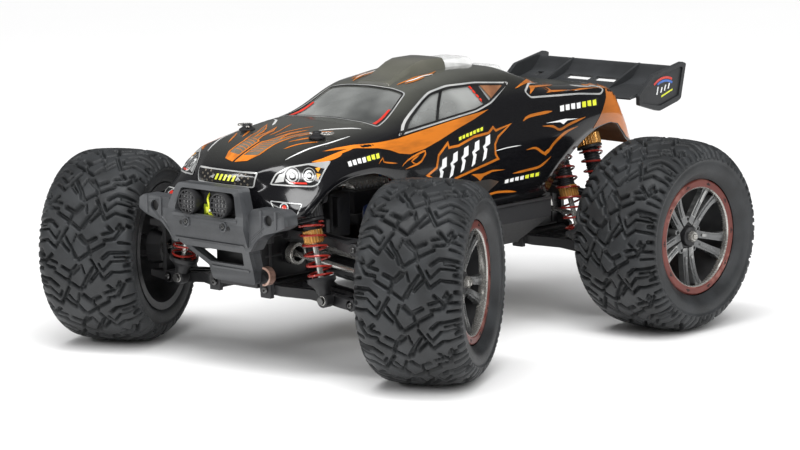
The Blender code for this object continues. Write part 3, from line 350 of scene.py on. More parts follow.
class Part:
    """Collects solids into one mesh. at maps the drawing onto the truck."""

    def __init__(self, at=IDENTITY):
        self.at = at
        self.bm = bmesh.new()

    def add(self, verts, faces, material=0, matrix=IDENTITY):
        place = self.at @ matrix
        made = [self.bm.verts.new(place @ Vector(v)) for v in verts]
        if place.determinant() < 0:
            faces = [tuple(reversed(f)) for f in faces]
        for face in faces:
            try:
                self.bm.faces.new([made[i] for i in face]).material_index = material
            except ValueError:
                continue
        return self

    def absorb(self, bm, material=0, matrix=IDENTITY):
        bm.verts.ensure_lookup_table()
        bm.verts.index_update()
        self.add([v.co for v in bm.verts], [[v.index for v in f.verts] for f in bm.faces], material, matrix)
        bm.free()
        return self

    def box(self, low, high, material=0, matrix=IDENTITY, bevel=0.0):
        bm = bmesh.new()
        low, high = Vector(low), Vector(high)
        bmesh.ops.create_cube(bm, size=1.0)
        bmesh.ops.scale(bm, vec=high - low, verts=bm.verts)
        bmesh.ops.translate(bm, vec=(low + high) / 2, verts=bm.verts)
        if bevel:
            bmesh.ops.bevel(bm, geom=list(bm.edges), offset=bevel, segments=2, profile=0.5, affect="EDGES")
        return self.absorb(bm, material, matrix)

    def lathe(self, profile, steps=32, material=0, matrix=IDENTITY, ring=False, wobble=None):
        """(radius, height) points turned about Z. A ring's profile is closed; wobble shapes it by angle."""
        verts, faces = [], []
        count = len(profile)
        for i in range(steps):
            a = 2 * math.pi * i / steps
            for j, (r, z) in enumerate(profile):
                radius = wobble(a, r, z) if wobble else r
                verts.append((radius * math.cos(a), radius * math.sin(a), z))
        for i in range(steps):
            k = (i + 1) % steps
            for j in range(count if ring else count - 1):
                n = (j + 1) % count
                faces.append((i * count + j, k * count + j, k * count + n, i * count + n))
        if not ring:
            faces.append(tuple(i * count for i in reversed(range(steps))))
            faces.append(tuple(i * count + count - 1 for i in range(steps)))
        bm = bmesh.new()
        made = [bm.verts.new(v) for v in verts]
        for face in faces:
            bm.faces.new([made[i] for i in face])
        bmesh.ops.remove_doubles(bm, verts=bm.verts, dist=1e-5)
        bmesh.ops.recalc_face_normals(bm, faces=bm.faces)
        return self.absorb(bm, material, matrix)

    def bar(self, start, end, radius, material=0, end_radius=None, steps=20, chamfer=0.3):
        """A round bar from start to end with chamfered ends."""
        start, end = Vector(start), Vector(end)
        axis = end - start
        top = radius if end_radius is None else end_radius
        c = min(chamfer, radius * 0.4, top * 0.4, axis.length * 0.3)
        return self.lathe([(radius - c, 0), (radius, c), (top, axis.length - c), (top - c, axis.length)],
                          steps, material, pointing(start, axis))

    def tube(self, points, radius, material=0, steps=8, matrix=IDENTITY):
        """A wire along points."""
        points = [Vector(p) for p in points]
        verts, faces = [], []
        tangent = points[1] - points[0]
        across = tangent.orthogonal().normalized()
        for i, p in enumerate(points):
            tangent = (points[min(i + 1, len(points) - 1)] - points[max(i - 1, 0)]).normalized()
            across = (across - tangent * across.dot(tangent)).normalized()
            other = tangent.cross(across)
            for k in range(steps):
                a = 2 * math.pi * k / steps
                verts.append(p + (across * math.cos(a) + other * math.sin(a)) * radius)
        for i in range(len(points) - 1):
            for k in range(steps):
                n = (k + 1) % steps
                faces.append((i * steps + k, i * steps + n, (i + 1) * steps + n, (i + 1) * steps + k))
        faces.append(tuple(reversed(range(steps))))
        faces.append(tuple((len(points) - 1) * steps + k for k in range(steps)))
        return self.add(verts, faces, material, matrix)

    def slab(self, outline, low, high, plane="XZ", holes=(), material=0, matrix=IDENTITY, cuts=(),
             warp=None):
        """A flat outline, from low to high across its plane, cut into strips and then bent by warp."""
        loops = [[Vector((*p, 0)) for p in loop] for loop in (outline, *holes)]
        flat = [p for loop in loops for p in loop]
        triangles = tessellate_polygon(loops)
        bm = bmesh.new()
        below = [bm.verts.new((p.x, p.y, low)) for p in flat]
        above = [bm.verts.new((p.x, p.y, high)) for p in flat]
        for a, b, c in triangles:
            bm.faces.new((below[a], below[b], below[c]))
            bm.faces.new((above[c], above[b], above[a]))
        first = 0
        for loop in loops:
            for i in range(len(loop)):
                a, b = first + i, first + (i + 1) % len(loop)
                bm.faces.new((below[a], below[b], above[b], above[a]))
            first += len(loop)
        bmesh.ops.recalc_face_normals(bm, faces=bm.faces)
        bmesh.ops.dissolve_limit(bm, angle_limit=0.01, verts=bm.verts, edges=bm.edges)
        for axis, step in cuts:
            values = [v.co[axis] for v in bm.verts]
            steps = int((max(values) - min(values)) / step)
            for k in range(1, steps + 1):
                at, normal = Vector((0, 0, 0)), Vector((0, 0, 0))
                at[axis], normal[axis] = min(values) + k * step, 1
                everything = list(bm.verts) + list(bm.edges) + list(bm.faces)
                bmesh.ops.bisect_plane(bm, geom=everything, plane_co=at, plane_no=normal)
        turn = PLANE_TURNS[plane]
        bmesh.ops.transform(bm, matrix=turn, verts=bm.verts)
        if turn.determinant() < 0:
            bmesh.ops.reverse_faces(bm, faces=bm.faces)
        if warp:
            bmesh.ops.triangulate(bm, faces=bm.faces)
            for vertex in bm.verts:
                vertex.co = warp(vertex.co)
        return self.absorb(bm, material, matrix)

    def make(self, name, body, materials, replaces=(), bevel=0.0, segments=2, angle=32):
        mesh = bpy.data.meshes.new(name)
        bmesh.ops.transform(self.bm, matrix=TO_ROW, verts=self.bm.verts)
        self.bm.to_mesh(mesh)
        self.bm.free()
        piece = add_object(name, mesh)
        for key in materials:
            mesh.materials.append(MATS[key])
        soften(piece, bevel, segments, angle)
        settle(piece, body, replaces)
        return piece


def soften(piece, bevel, segments=2, angle=32):
    piece.data.shade_smooth()
    piece.data.set_sharp_from_angle(angle=math.radians(angle))
    if bevel:
        modifier = piece.modifiers.new("edges", "BEVEL")
        modifier.width = bevel * MM
        modifier.segments = segments
        modifier.limit_method = "ANGLE"
        modifier.angle_limit = math.radians(angle)
        modifier.harden_normals = True


def settle(piece, body, replaces=()):
    if body:
        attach(piece, body)
    if replaces:
        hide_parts(*replaces)


# ---------------------------------------------------------------- wheels
TYRE_LOW, TYRE_HIGH = node_box("rear_left_tyre")
TYRE_RADIUS = joint_point("rear_left_wheel_spin").z
TYRE_HALF = (TYRE_HIGH.x - TYRE_LOW.x) / 2
PITCHES = 10
PITCH = 2 * math.pi * TYRE_RADIUS / PITCHES
TREAD_DEPTH = 3.7
COLUMNS = 54
EDGE = 0.42                     # half the width of a groove's sloping side
SHOULDER = 37.0                 # how far round from the middle the blocks reach
# Grooves of the outboard half: points (across, around) and a width.
GROOVES = [
    (((0, 0), (8, 5.5), (17, 10.5)), 1.9), (((0, 0), (-5.5, 9.5)), 1.5),
    (((8.5, 0.5), (16, -12), (22, -7.3), (38, -8.5)), 1.7),
    (((13.6, -2.0), (16.0, -6.5), (21.5, -0.5), (33, -0.5)), 1.2),
    (((16, 1.5), (20.5, 5.2), (38, 5.5)), 2.1), (((24, 2.6), (31, 2.4)), 1.0),
    (((18.5, -16.5), (24, -21.3), (30, -21.0), (38, -22)), 1.9),
    (((24.2, -17.6), (27.2, -17.2), (26.3, -13.9), (24.2, -17.6)), 1.3),
    (((-1.5, -3.5), (-5.8, -8.5), (-8, -15.5)), 1.8), (((9.3, -4.7), (5.5, -11), (2.4, -18)), 1.6),
    (((2.0, -3.0), (3.7, -8.6)), 1.1), (((0.2, 14.6), (4.6, 10.6), (11.5, 14.2)), 2.4),
    (((15.3, 16.7), (21.4, 18.6)), 1.8), (((16.8, 13.0), (23.6, 14.2), (29, 21.8)), 1.9),
    (((12.7, 31.0), (6.8, 24.5)), 2.0), (((26.5, 12.0), (38, 11.5)), 1.5), (((31, -3.6), (38, -3.4)), 2.6),
    (((31.5, -14.5), (38, -15)), 2.6), (((32, 1.6), (38, 2.0)), 1.6),
]


def groove_depth(across, around):
    """How deep the tread is cut at each point, from 0 to 1; around is one pitch."""
    depth = np.zeros(np.broadcast(across, around).shape)
    for flip, shift in ((1, 0.0), (-1, PITCH * 0.5)):
        for points, width in GROOVES:
            for (x0, y0), (x1, y1) in zip(points, points[1:]):
                for turn in (-1, 0, 1):
                    x, y = flip * across - x0, around + shift + turn * PITCH - y0
                    dx, dy = x1 - x0, y1 - y0
                    length = math.hypot(dx, dy)
                    along = np.clip((x * dx + y * dy) / length ** 2, 0, 1)
                    away = np.hypot(x - along * dx, y - along * dy)
                    depth = np.maximum(depth, np.clip((width / 2 + EDGE - away) / (2 * EDGE), 0, 1))
    return depth * depth * (3 - 2 * depth)


DRAWN_HALF = 32.1               # half the width the section below is drawn at, scaled to the frame's


def tyre_section():
    """Points (radius, across, tread position) over the tyre from the inner bead to the outer one."""
    r, w = TYRE_RADIUS, TYRE_HALF
    crown = [(r, 0), (r - 0.5, 14), (r - 1.9, 23), (r - 5.2, 28.6), (r - 9.0, 31.6), (r - 11.2, DRAWN_HALF)]
    tread = smooth_line([(r - 0.5, -14)] + crown, 0.62)
    tread = [p for p in tread if p.y >= 0]
    rows, travelled = [], 0.0
    for i, p in enumerate(tread):
        if i:
            travelled += (p - tread[i - 1]).length
        rows.append((p.x, p.y * w / DRAWN_HALF, travelled))
    wall = smooth_line([(tread[-1].x, DRAWN_HALF), (r - 12.6, 31.2), (r - 15.2, 31.3), (r - 19.0, 30.6),
                        (r - 22.4, 28.0), (r - 23.9, 26.3)], 0.9)[1:]
    rows += [(p.x, p.y * w / DRAWN_HALF, travelled + 3 + i) for i, p in enumerate(wall)]
    inner = [(x, -y, -t) for x, y, t in reversed(rows[1:])]
    return inner + rows


def tyre_mesh(mirror):
    rows = tyre_section()
    radius = np.array([p[0] for p in rows])
    across = np.array([p[1] for p in rows])
    tread = np.array([p[2] for p in rows])
    dr, da = np.gradient(radius), np.gradient(across)
    size = np.hypot(dr, da)
    normal_r, normal_a = da / size, -dr / size
    around = np.arange(COLUMNS) * PITCH / COLUMNS
    cut = groove_depth(tread[None, :], around[:, None])
    fade = np.clip((SHOULDER - np.abs(tread)) / 3.0, 0, 1)
    depth = TREAD_DEPTH * cut * fade * np.interp(np.abs(tread), [0, 26, 37], [1, 1.1, 1.25])[None, :]
    total = COLUMNS * PITCHES
    cut_all = np.tile(depth, (PITCHES, 1))
    angle = -2 * math.pi * np.arange(total) / total
    r = radius[None, :] - cut_all * normal_r[None, :]
    a = across[None, :] - cut_all * normal_a[None, :]
    verts = np.stack([r * np.cos(angle)[:, None], r * np.sin(angle)[:, None], a], axis=-1)
    count = len(rows)
    i = np.arange(total)[:, None]
    j = np.arange(count - 1)[None, :]
    k = (i + 1) % total
    quads = np.stack([i * count + j, i * count + j + 1, k * count + j + 1, k * count + j], axis=-1)
    quads = quads.reshape(-1, 4)
    if mirror:
        quads = quads[:, ::-1]
    return verts.reshape(-1, 3), quads


def wheel_matrix(corner, side):
    """Maps (up, forward, outboard), drawn about the wheel's centre, onto the truck."""
    joint = JOINTS[corner + "_wheel_spin"]
    axle = Vector(joint["axis"]).normalized()
    outboard = axle if axle.x * side > 0 else -axle
    up = Vector((0, 0, 1))
    forward = outboard.cross(up) * side
    forward = -forward if forward.y > 0 else forward
    turn = Matrix((up, forward, outboard)).transposed().to_4x4()
    return Matrix.Translation(joint_point(corner + "_wheel_spin")) @ turn


def build_tyre(corner, side):
    place = TO_ROW @ wheel_matrix(corner, side)
    verts, quads = tyre_mesh(place.determinant() > 0)
    mesh = bpy.data.meshes.new(corner + "_tyre_tread")
    spot = np.c_[verts, np.ones(len(verts))] @ np.array(place).T
    mesh.from_pydata(spot[:, :3], [], quads)
    mesh.materials.append(MATS["rubber"])
    mesh.shade_smooth()
    tyre = add_object(corner + "_tyre_tread", mesh)
    settle(tyre, corner + "_wheel", [corner + "_tyre"])


SPOKES = 5
BEAD_SCREWS = 10                # pairs of holes round the bead ring, with a small key between each
SPOKE_ROOT, SPOKE_SPAN, SPOKE_DISH = 9, 22, 3.4


def spoke(part, angle):
    """One split spoke: two bars that leave a shared root and spread towards the rim."""
    turn = Matrix.Rotation(angle, 4, "Z")

    def dish(p):
        t = (Vector((p.x, p.y)).length - SPOKE_ROOT) / SPOKE_SPAN
        return Vector((p.x, p.y, p.z + SPOKE_DISH * t * t))

    for s in (-1, 1):
        bar = [(7.5, s * 0.5), (12.5, s * 0.8), (21, s * 1.7), (31.6, s * 2.6), (31.6, s * 9.4),
               (27.0, s * 7.0), (22, s * 6.2), (13.5, s * 5.4), (7.5, s * 5.2)]
        part.slab(rounded(bar, 0.8), 14.6, 18.6, "XY", matrix=turn, cuts=((0, 2.4),), warp=dish)
        ridge = [(13, s * 2.0), (22, s * 3.1), (30.5, s * 4.6), (30.5, s * 6.8), (22, s * 4.9),
                 (13, s * 3.9)]
        part.slab(rounded(ridge, 0.5), 18.2, 19.3, "XY", matrix=turn, cuts=((0, 2.4),), warp=dish)


def build_rim(corner, side):
    part = Part(wheel_matrix(corner, side))
    part.lathe([(33.4, 22.4), (33.4, 6), (33.0, -20), (34.6, -27), (35.6, -30.4), (40.2, -30.6),
                (40.2, -28.8), (36.2, -28.2), (35.2, -24), (34.6, 6), (34.6, 22.4)], 96, 1, ring=True)
    part.lathe([(31.2, 23.4), (31.0, 25.4), (31.6, 26.2), (33.4, 26.0), (34.4, 22.6), (33.4, 20.0),
                (32.6, 20.6)],
               96, 2, ring=True)
    part.lathe([(31.8, 24.6), (31.8, 26.2), (32.4, 26.6), (35.8, 26.6), (36.6, 26.0), (37.0, 24.4)], 96, 3,
               ring=True)
    ring_face, ring_middle = 26.25, 34.0
    for k in range(BEAD_SCREWS):
        middle = 360 / BEAD_SCREWS * (k + 0.5)
        # Each hole is drawn as a small dark disc on the ring's face: painted shade in the hole.
        for lean in (-1.9, 1.9):
            a = math.radians(middle + lean * 1.1)
            spot = Matrix.Translation((ring_middle * math.cos(a), ring_middle * math.sin(a), ring_face))
            part.lathe([(0.55, 0), (0.55, 0.42), (0.2, 0.45)], 10, 4, spot)
        spot = Matrix.Rotation(math.radians(middle), 4, "Z") @ Matrix.Translation((34.4, 0, 26.3))
        part.slab(rounded([(-1.0, -0.5), (0.9, -0.5), (0.9, 0.5), (-1.0, 0.5)], 0.3), 0, 0.4, "XY",
                  material=4, matrix=spot)
    for k in range(SPOKES):
        angle = 2 * math.pi * (k + 0.5) / SPOKES
        spoke(part, angle)
        boss = Matrix.Rotation(angle + math.pi / SPOKES, 4, "Z") @ Matrix.Translation((10.6, 0, 0))
        part.lathe([(0.2, 12), (2.3, 12), (2.3, 18.0), (1.9, 18.4), (1.2, 18.4), (1.2, 17.2), (0.2, 17.2)],
                   16, 0, boss)
        # A dark disc in the floor of each boss's cup: painted shade.
        part.lathe([(0.2, 17.0), (1.15, 17.0), (1.15, 17.5), (0.2, 17.5)], 10, 4, boss)
        web = Matrix.Rotation(angle, 4, "Z")
        part.slab([(8, -4.2), (13, -1.0), (13, 1.0), (8, 4.2)], 13.5, 16.5, "XY", material=1, matrix=web)
    part.lathe([(0, 10), (9.6, 10), (9.6, 16.6), (8.8, 17.6), (6.6, 17.8), (6.2, 20.4), (5.6, 21.0),
                (0, 21.0)], 40, 5)
    part.lathe([(2.0, 20.6), (3.5, 20.6), (3.5, 23.2), (3.1, 23.8), (2.0, 23.8)], 6, 2, ring=True)
    part.lathe([(0, 20), (1.9, 20), (1.9, 24.6), (1.5, 25.0), (0, 25.0)], 20, 2)
    part.lathe([(0, -22), (2.5, -22), (2.5, -8), (6.5, -6), (8, 0), (9, 10), (0, 10)], 30, 1)
    part.make(corner + "_rim_detail", corner + "_wheel", ["gunmetal", "barrel", "lip", "bead", "dark",
                                                          "black"],
              [corner + "_rim"], bevel=0.22)


for end, hand, side in CORNERS:
    build_tyre(f"{end}_{hand}", side)
    build_rim(f"{end}_{hand}", side)


# ---------------------------------------------------------------- body shell
# Each line runs along the shell from nose to tail as points (y, x, z).
SILL = [(-149, 56, 97.5), (-142, 61, 98.5), (-134, 61.8, 104.5), (-124, 61.8, 111), (-113, 61.6, 115),
        (-100, 61.5, 117.4), (-87, 61.5, 117.6), (-76, 61.5, 115.2), (-68, 61.4, 111), (-61, 61.2, 104.5),
        (-54, 61, 97), (-46, 60.6, 90.5), (-36, 60.2, 86.4), (-24, 60, 84.8), (0, 60, 84), (30, 60, 84),
        (66, 60, 84.6), (74, 60, 85.6), (80, 60, 90), (87, 60, 97.5), (95, 60, 104), (106, 60, 112),
        (118, 60, 118.6), (130, 60, 122.8), (140, 60, 124.2), (148, 59.5, 122.4), (154, 58.6, 117),
        (160, 57, 112), (169, 54, 107)]
FLANK = [(-149, 58, 102), (-140, 62, 106), (-128, 62.5, 113), (-115, 62.2, 119), (-100, 62, 121.5),
         (-86, 62, 122), (-70, 61.5, 120), (-58, 61, 118), (-44, 60, 116), (-24, 59.5, 115),
         (30, 58.8, 116), (60, 58.8, 118), (86, 59.5, 122), (100, 60, 125), (118, 60.3, 130),
         (135, 60.3, 132), (148, 59.7, 131), (158, 58, 122), (169, 53, 109)]
WAIST = [(-149, 27, 111), (-145, 36, 114), (-140, 43, 117), (-128, 56, 121.5), (-115, 57, 128),
         (-100, 56.8, 131), (-86, 56.5, 134), (-70, 56, 136.5), (-58, 55.3, 138.2), (-44, 54.8, 139.5),
         (-24, 54.5, 141.2), (0, 54, 143.2), (30, 54, 146), (60, 54.2, 147.5), (76, 54.8, 148.2),
         (100, 56, 148.5), (118, 56.5, 148.5), (135, 56, 147.5), (148, 55, 144), (158, 54, 131),
         (169, 50, 112)]
RAIL = [(-149, 23.5, 121.5), (-140, 29, 126), (-128, 35, 131), (-115, 40, 134.5), (-100, 42, 136.7),
        (-86, 43, 138.7), (-70, 43, 140.8), (-61, 42.2, 141.8), (-54, 41, 143.5), (-44, 40, 147.6),
        (-30, 38, 155), (-24, 37.5, 157.6), (-14, 39.5, 159.6), (0, 42, 160.8), (30, 43, 163.5),
        (56, 43, 163.4), (68, 43.3, 160.5), (76, 43.5, 158), (86, 44, 154), (100, 46, 151.5),
        (118, 46.5, 150.2), (135, 46, 149.5), (148, 45, 147.8), (158, 44, 133.5), (169, 42, 114)]
CROWN = [(-149, 12, 122.5), (-140, 14, 127.5), (-128, 18, 132.8), (-115, 20, 137), (-100, 22, 139.5),
         (-86, 24, 141.2), (-70, 26, 142.5), (-58, 27, 143.2), (-51, 27, 144.3), (-44, 27, 147.7),
         (-24, 25, 159.4), (-14, 25, 162.6), (0, 27, 164.6), (30, 27, 167.6), (60, 26, 166.4),
         (76, 26, 161), (86, 26, 156), (100, 26, 152.2), (118, 26, 150), (135, 26, 149), (148, 26, 147.8),
         (158, 26, 134), (169, 26, 114.5)]
RIDGE = [(-149, 0, 122.8), (-140, 0, 127.8), (-128, 0, 133), (-115, 0, 137.2), (-100, 0, 140),
         (-86, 0, 141.8), (-70, 0, 143), (-58, 0, 143.6), (-51, 0, 144.6), (-44, 0, 148), (-24, 0, 159.8),
         (-14, 0, 163.4), (0, 0, 165.8), (30, 0, 168.2), (60, 0, 167), (76, 0, 161.2), (86, 0, 156.5),
         (100, 0, 152.5), (118, 0, 150), (135, 0, 149), (148, 0, 147.8), (158, 0, 134), (169, 0, 114.5)]
NOSE_Y, TAIL_Y = SILL[0][0], SILL[-1][0]
STATION_STEP = 2.5
SHELL_THICKNESS = 1.0
NOSE_BULGE, TAIL_BULGE = -3.0, 1.5
END_COLUMNS = 8                 # faces across the nose and the tail
END_FADE = 6.0                  # the bulge fades over this height below the ridge


def slopes(xs, ys):
    """Slopes of a curve through the points that never overshoots them."""
    h, d = np.diff(xs), np.diff(ys) / np.diff(xs)
    m = np.empty(len(xs))
    m[0], m[-1] = d[0], d[-1]
    for i in range(1, len(xs) - 1):
        if d[i - 1] * d[i] <= 0:
            m[i] = 0.0
        else:
            w1, w2 = 2 * h[i] + h[i - 1], h[i] + 2 * h[i - 1]
            m[i] = (w1 + w2) / (w1 / d[i - 1] + w2 / d[i])
    return m


def follow(line, y):
    """The point (x, z) of a character line at each y."""
    rows = np.array(line, float)
    ys = rows[:, 0]
    i = np.clip(np.searchsorted(ys, y) - 1, 0, len(ys) - 2)
    h = ys[i + 1] - ys[i]
    t = (y - ys[i]) / h
    out = []
    for column in (1, 2):
        v = rows[:, column]
        m = slopes(ys, v)
        out.append((2 * t ** 3 - 3 * t ** 2 + 1) * v[i] + (t ** 3 - 2 * t ** 2 + t) * h * m[i]
                   + (-2 * t ** 3 + 3 * t ** 2) * v[i + 1] + (t ** 3 - t ** 2) * h * m[i + 1])
    return np.stack(out, axis=-1)


def soft_section(corners):
    """A section through its corners with each inner corner eased into a short curve."""
    ease = (0.0, 0.30, 0.16, 0.20, 0.34, 0.0)
    out = [corners[0]]
    for k in range(1, len(corners) - 1):
        before, corner, after = corners[k - 1], corners[k], corners[k + 1]
        a, b = corner + (before - corner) * ease[k], corner + (after - corner) * ease[k]
        out.append((out[-1] + a) / 2)
        out += [a * (1 - t) ** 2 + corner * 2 * t * (1 - t) + b * t * t for t in (0, 0.25, 0.5, 0.75, 1)]
    out.append((out[-1] + corners[-1]) / 2)
    out.append(corners[-1])
    return out


def shell_surface():
    """The outer surface as a bmesh, in millimetres, with its front and rear faces."""
    stations = np.linspace(NOSE_Y, TAIL_Y, int((TAIL_Y - NOSE_Y) / STATION_STEP) + 1)
    lines = [follow(line, stations) for line in (SILL, FLANK, WAIST, RAIL, CROWN, RIDGE)]
    bm = bmesh.new()
    rows = []
    for i, y in enumerate(stations):
        half = soft_section([line[i] for line in lines])
        right = [bm.verts.new((-x, y, z)) for x, z in half[:-1]]
        left = [bm.verts.new((x, y, z)) for x, z in half]
        rows.append(right + list(reversed(left)))
    for a, b in zip(rows, rows[1:]):
        for j in range(len(a) - 1):
            bm.faces.new((a[j], b[j], b[j + 1], a[j + 1]))
    for row, bulge in ((rows[0], NOSE_BULGE), (rows[-1], TAIL_BULGE)):
        count = len(row) // 2
        columns = [(row[j], row[-1 - j]) for j in range(count)]
        middle = []
        for a, b in columns:
            centre = (a.co + b.co) / 2
            fade = min(1, (row[count].co.z - centre.z) / END_FADE)
            line = [a]
            for k in range(1, END_COLUMNS):
                t = k / END_COLUMNS
                out = Vector((0, bulge * math.sin(math.pi * t) ** 0.6 * fade, 0))
                line.append(bm.verts.new(a.co.lerp(b.co, t) + out))
            middle.append(line + [b])
        for first, second in zip(middle, middle[1:]):
            for k in range(END_COLUMNS):
                bm.faces.new((first[k], first[k + 1], second[k + 1], second[k]))
        bm.faces.new(middle[-1] + [row[count]])
    bmesh.ops.recalc_face_normals(bm, faces=bm.faces)
    return bm


shell_bm = shell_surface()
if sum(f.normal.z * f.calc_area() for f in shell_bm.faces) < 0:
    bmesh.ops.reverse_faces(shell_bm, faces=shell_bm.faces)
SHELL_TREE = BVHTree.FromBMesh(shell_bm)


# ---------------------------------------------------------------- films and windows on the shell
POST_X, POST_BACK = 30.3, 13.2  # the body posts, from the middle and behind the front axle
POST = Vector((POST_X, FRONT + POST_BACK, 0))
MIRROR = Matrix.Diagonal((-1, 1, 1, 1))
FILM = 0.10                     # how thick a film is
SIDE_VIEW, CORNER_VIEW, NOSE_VIEW = 0.0, math.radians(45), math.radians(90)


def cling(view, lift):
    """Returns the map that lays a flat drawing (u, v) on the shell, as seen from view.

    view is an angle round Z, 0 from the left side and 90 degrees from the nose, or "top".
    """
    def lay(p):
        if view == "top":
            start, ray = Vector((p.x, p.y, 300)), Vector((0, 0, -1))
        else:
            ray = Vector((-math.cos(view), math.sin(view), 0))
            along = Vector((math.sin(view), math.cos(view), 0))
            start = along * p.x - ray * 400 + Vector((0, 0, p.y))
        spot, normal, _, _ = SHELL_TREE.ray_cast(start, ray)
        if spot is None:
            spot, normal, _, _ = SHELL_TREE.find_nearest(start + ray * 340)
        return spot + normal * (lift + p.z)
    return lay


def inset(points, by):
    """A closed outline moved inwards, or outwards if by is negative."""
    pts = [Vector(p) for p in points]
    area = sum(a.x * b.y - b.x * a.y for a, b in zip(pts, pts[1:] + pts[:1]))
    sign = 1 if area > 0 else -1
    out = []
    for i, p in enumerate(pts):
        before, after = (p - pts[i - 1]).normalized(), (pts[(i + 1) % len(pts)] - p).normalized()
        n0, n1 = Vector((-before.y, before.x)), Vector((-after.y, after.x))
        middle = (n0 + n1).normalized() if (n0 + n1).length > 1e-6 else n0
        out.append(tuple(p + middle * sign * by / max(0.35, middle.dot(n0))))
    return out


def patch(part, outline, view, material, lift=0.12, holes=(), both=True, step=2.6):
    for matrix in (IDENTITY, MIRROR) if both else (IDENTITY,):
        part.slab(outline, 0, FILM, "XY", holes, material, matrix, cuts=((0, step), (1, step)),
                  warp=cling(view, lift))


def ring(part, outline, width, view, material, lift=0.16, both=True, start=0.0):
    outer = inset(outline, start) if start else outline
    patch(part, outer, view, material, lift, [inset(outline, start + width)], both)


def stroke(part, points, width, view, material, lift=0.16, both=True, taper=(0.25, 0.25)):
    """A brush stroke along points, its ends narrowed to the taper fractions of its width."""
    pts = smooth_line([Vector(p) for p in points], 2.5)
    left, right = [], []
    for i, p in enumerate(pts):
        t = i / (len(pts) - 1)
        direction = (pts[min(i + 1, len(pts) - 1)] - pts[max(i - 1, 0)]).normalized()
        across = Vector((-direction.y, direction.x))
        half = width / 2 * min(1, taper[0] + 4 * t, taper[1] + 4 * (1 - t))
        left.append(tuple(p + across * half))
        right.append(tuple(p - across * half))
    patch(part, left + right[::-1], view, material, lift, both=both)


WINDSCREEN = rounded(mirrored([(0, -57.5), (24, -59), (42.5, -62), (32.6, -25), (18, -22.6), (0, -22)]),
                     3.0)
SIDE_WINDOW = rounded([(-58.5, 136.4), (-28, 139.4), (16, 143.8), (31, 147.4), (55.5, 158.2), (24, 161.2),
                       (1, 161.0), (-14, 158.4)], 3.5)
GLASS_INSET = 2.0
REAR_RECESS = rounded([(67, 147.0), (64, 151.5), (74, 156.4), (117, 151.2), (133, 149.0), (138.5, 146.2),
                       (134, 142.8), (112, 145.2)], 3.0)


def carve(bm, outline, axes, keep):
    """Cuts a closed outline, drawn on the plane of two axes, through the faces that keep accepts."""
    u, v = axes
    pts = [Vector(p) for p in outline]
    low = Vector((min(p.x for p in pts) - 4, min(p.y for p in pts) - 4))
    high = Vector((max(p.x for p in pts) + 4, max(p.y for p in pts) + 4))

    def near(face):
        c = face.calc_center_median()
        return low.x < c[u] < high.x and low.y < c[v] < high.y and keep(face)

    for a, b in zip(pts, pts[1:] + pts[:1]):
        reach = Vector((0.05, 0.05))
        box_low = Vector((min(a.x, b.x), min(a.y, b.y))) - reach
        box_high = Vector((max(a.x, b.x), max(a.y, b.y))) + reach
        touched = []
        for face in bm.faces:
            if not near(face):
                continue
            us, vs = [w.co[u] for w in face.verts], [w.co[v] for w in face.verts]
            if max(us) > box_low.x and min(us) < box_high.x and max(vs) > box_low.y and min(vs) < box_high.y:
                touched.append(face)
        if not touched:
            continue
        at, normal = Vector((0, 0, 0)), Vector((0, 0, 0))
        at[u], at[v] = a.x, a.y
        normal[u], normal[v] = b.y - a.y, a.x - b.x
        edges = {e for f in touched for e in f.edges}
        verts = {w for f in touched for w in f.verts}
        bmesh.ops.bisect_plane(bm, geom=list(verts) + list(edges) + touched, plane_co=at,
                               plane_no=normal.normalized(), dist=1e-4)

    def inside(c):
        hit = False
        for a, b in zip(pts, pts[1:] + pts[:1]):
            if (a.y > c[v]) != (b.y > c[v]) and c[u] < (b.x - a.x) * (c[v] - a.y) / (b.y - a.y) + a.x:
                hit = not hit
        return hit

    gone = [f for f in bm.faces if near(f) and inside(f.calc_center_median())]
    bmesh.ops.delete(bm, geom=gone, context="FACES")


def build_shell():
    """The painted shell, its openings cut and its inside lined."""
    bm = shell_bm.copy()
    carve(bm, inset(WINDSCREEN, GLASS_INSET), (0, 1), lambda f: f.normal.z > 0.1)
    for s in (1, -1):
        carve(bm, inset(SIDE_WINDOW, GLASS_INSET), (1, 2), lambda f, s=s: f.calc_center_median().x * s > 20)
        carve(bm, circle(s * POST.x, POST.y, 3.9, 20), (0, 1), lambda f: f.normal.z > 0.1)
    carve(bm, rounded([(-19, 117), (19, 117), (19, 140), (-19, 140)], 3.0), (0, 2),
          lambda f: f.calc_center_median().y > 147 and f.normal.y > 0.2)
    mesh = bpy.data.meshes.new("shell_skin")
    bmesh.ops.transform(bm, matrix=TO_ROW, verts=bm.verts)
    bm.to_mesh(mesh)
    bm.free()
    skin = add_object("shell_skin", mesh)
    for key in ("paint", "lining"):
        mesh.materials.append(MATS[key])
    wall = skin.modifiers.new("wall", "SOLIDIFY")
    wall.thickness = SHELL_THICKNESS * MM
    wall.offset = -1.0
    wall.material_offset = 1
    wall.material_offset_rim = 0
    soften(skin, 0, angle=40)
    settle(skin, "chassis", ["body_shell"])


WINDOWS = ((WINDSCREEN, "top", False), (SIDE_WINDOW, SIDE_VIEW, True))


def build_panes():
    part = Part()
    for outline, view, both in WINDOWS:
        patch(part, inset(outline, GLASS_INSET - 0.3), view, 0, -0.75, both=both, step=4)
    part.make("window_panes", "chassis", ["glass"], angle=50)


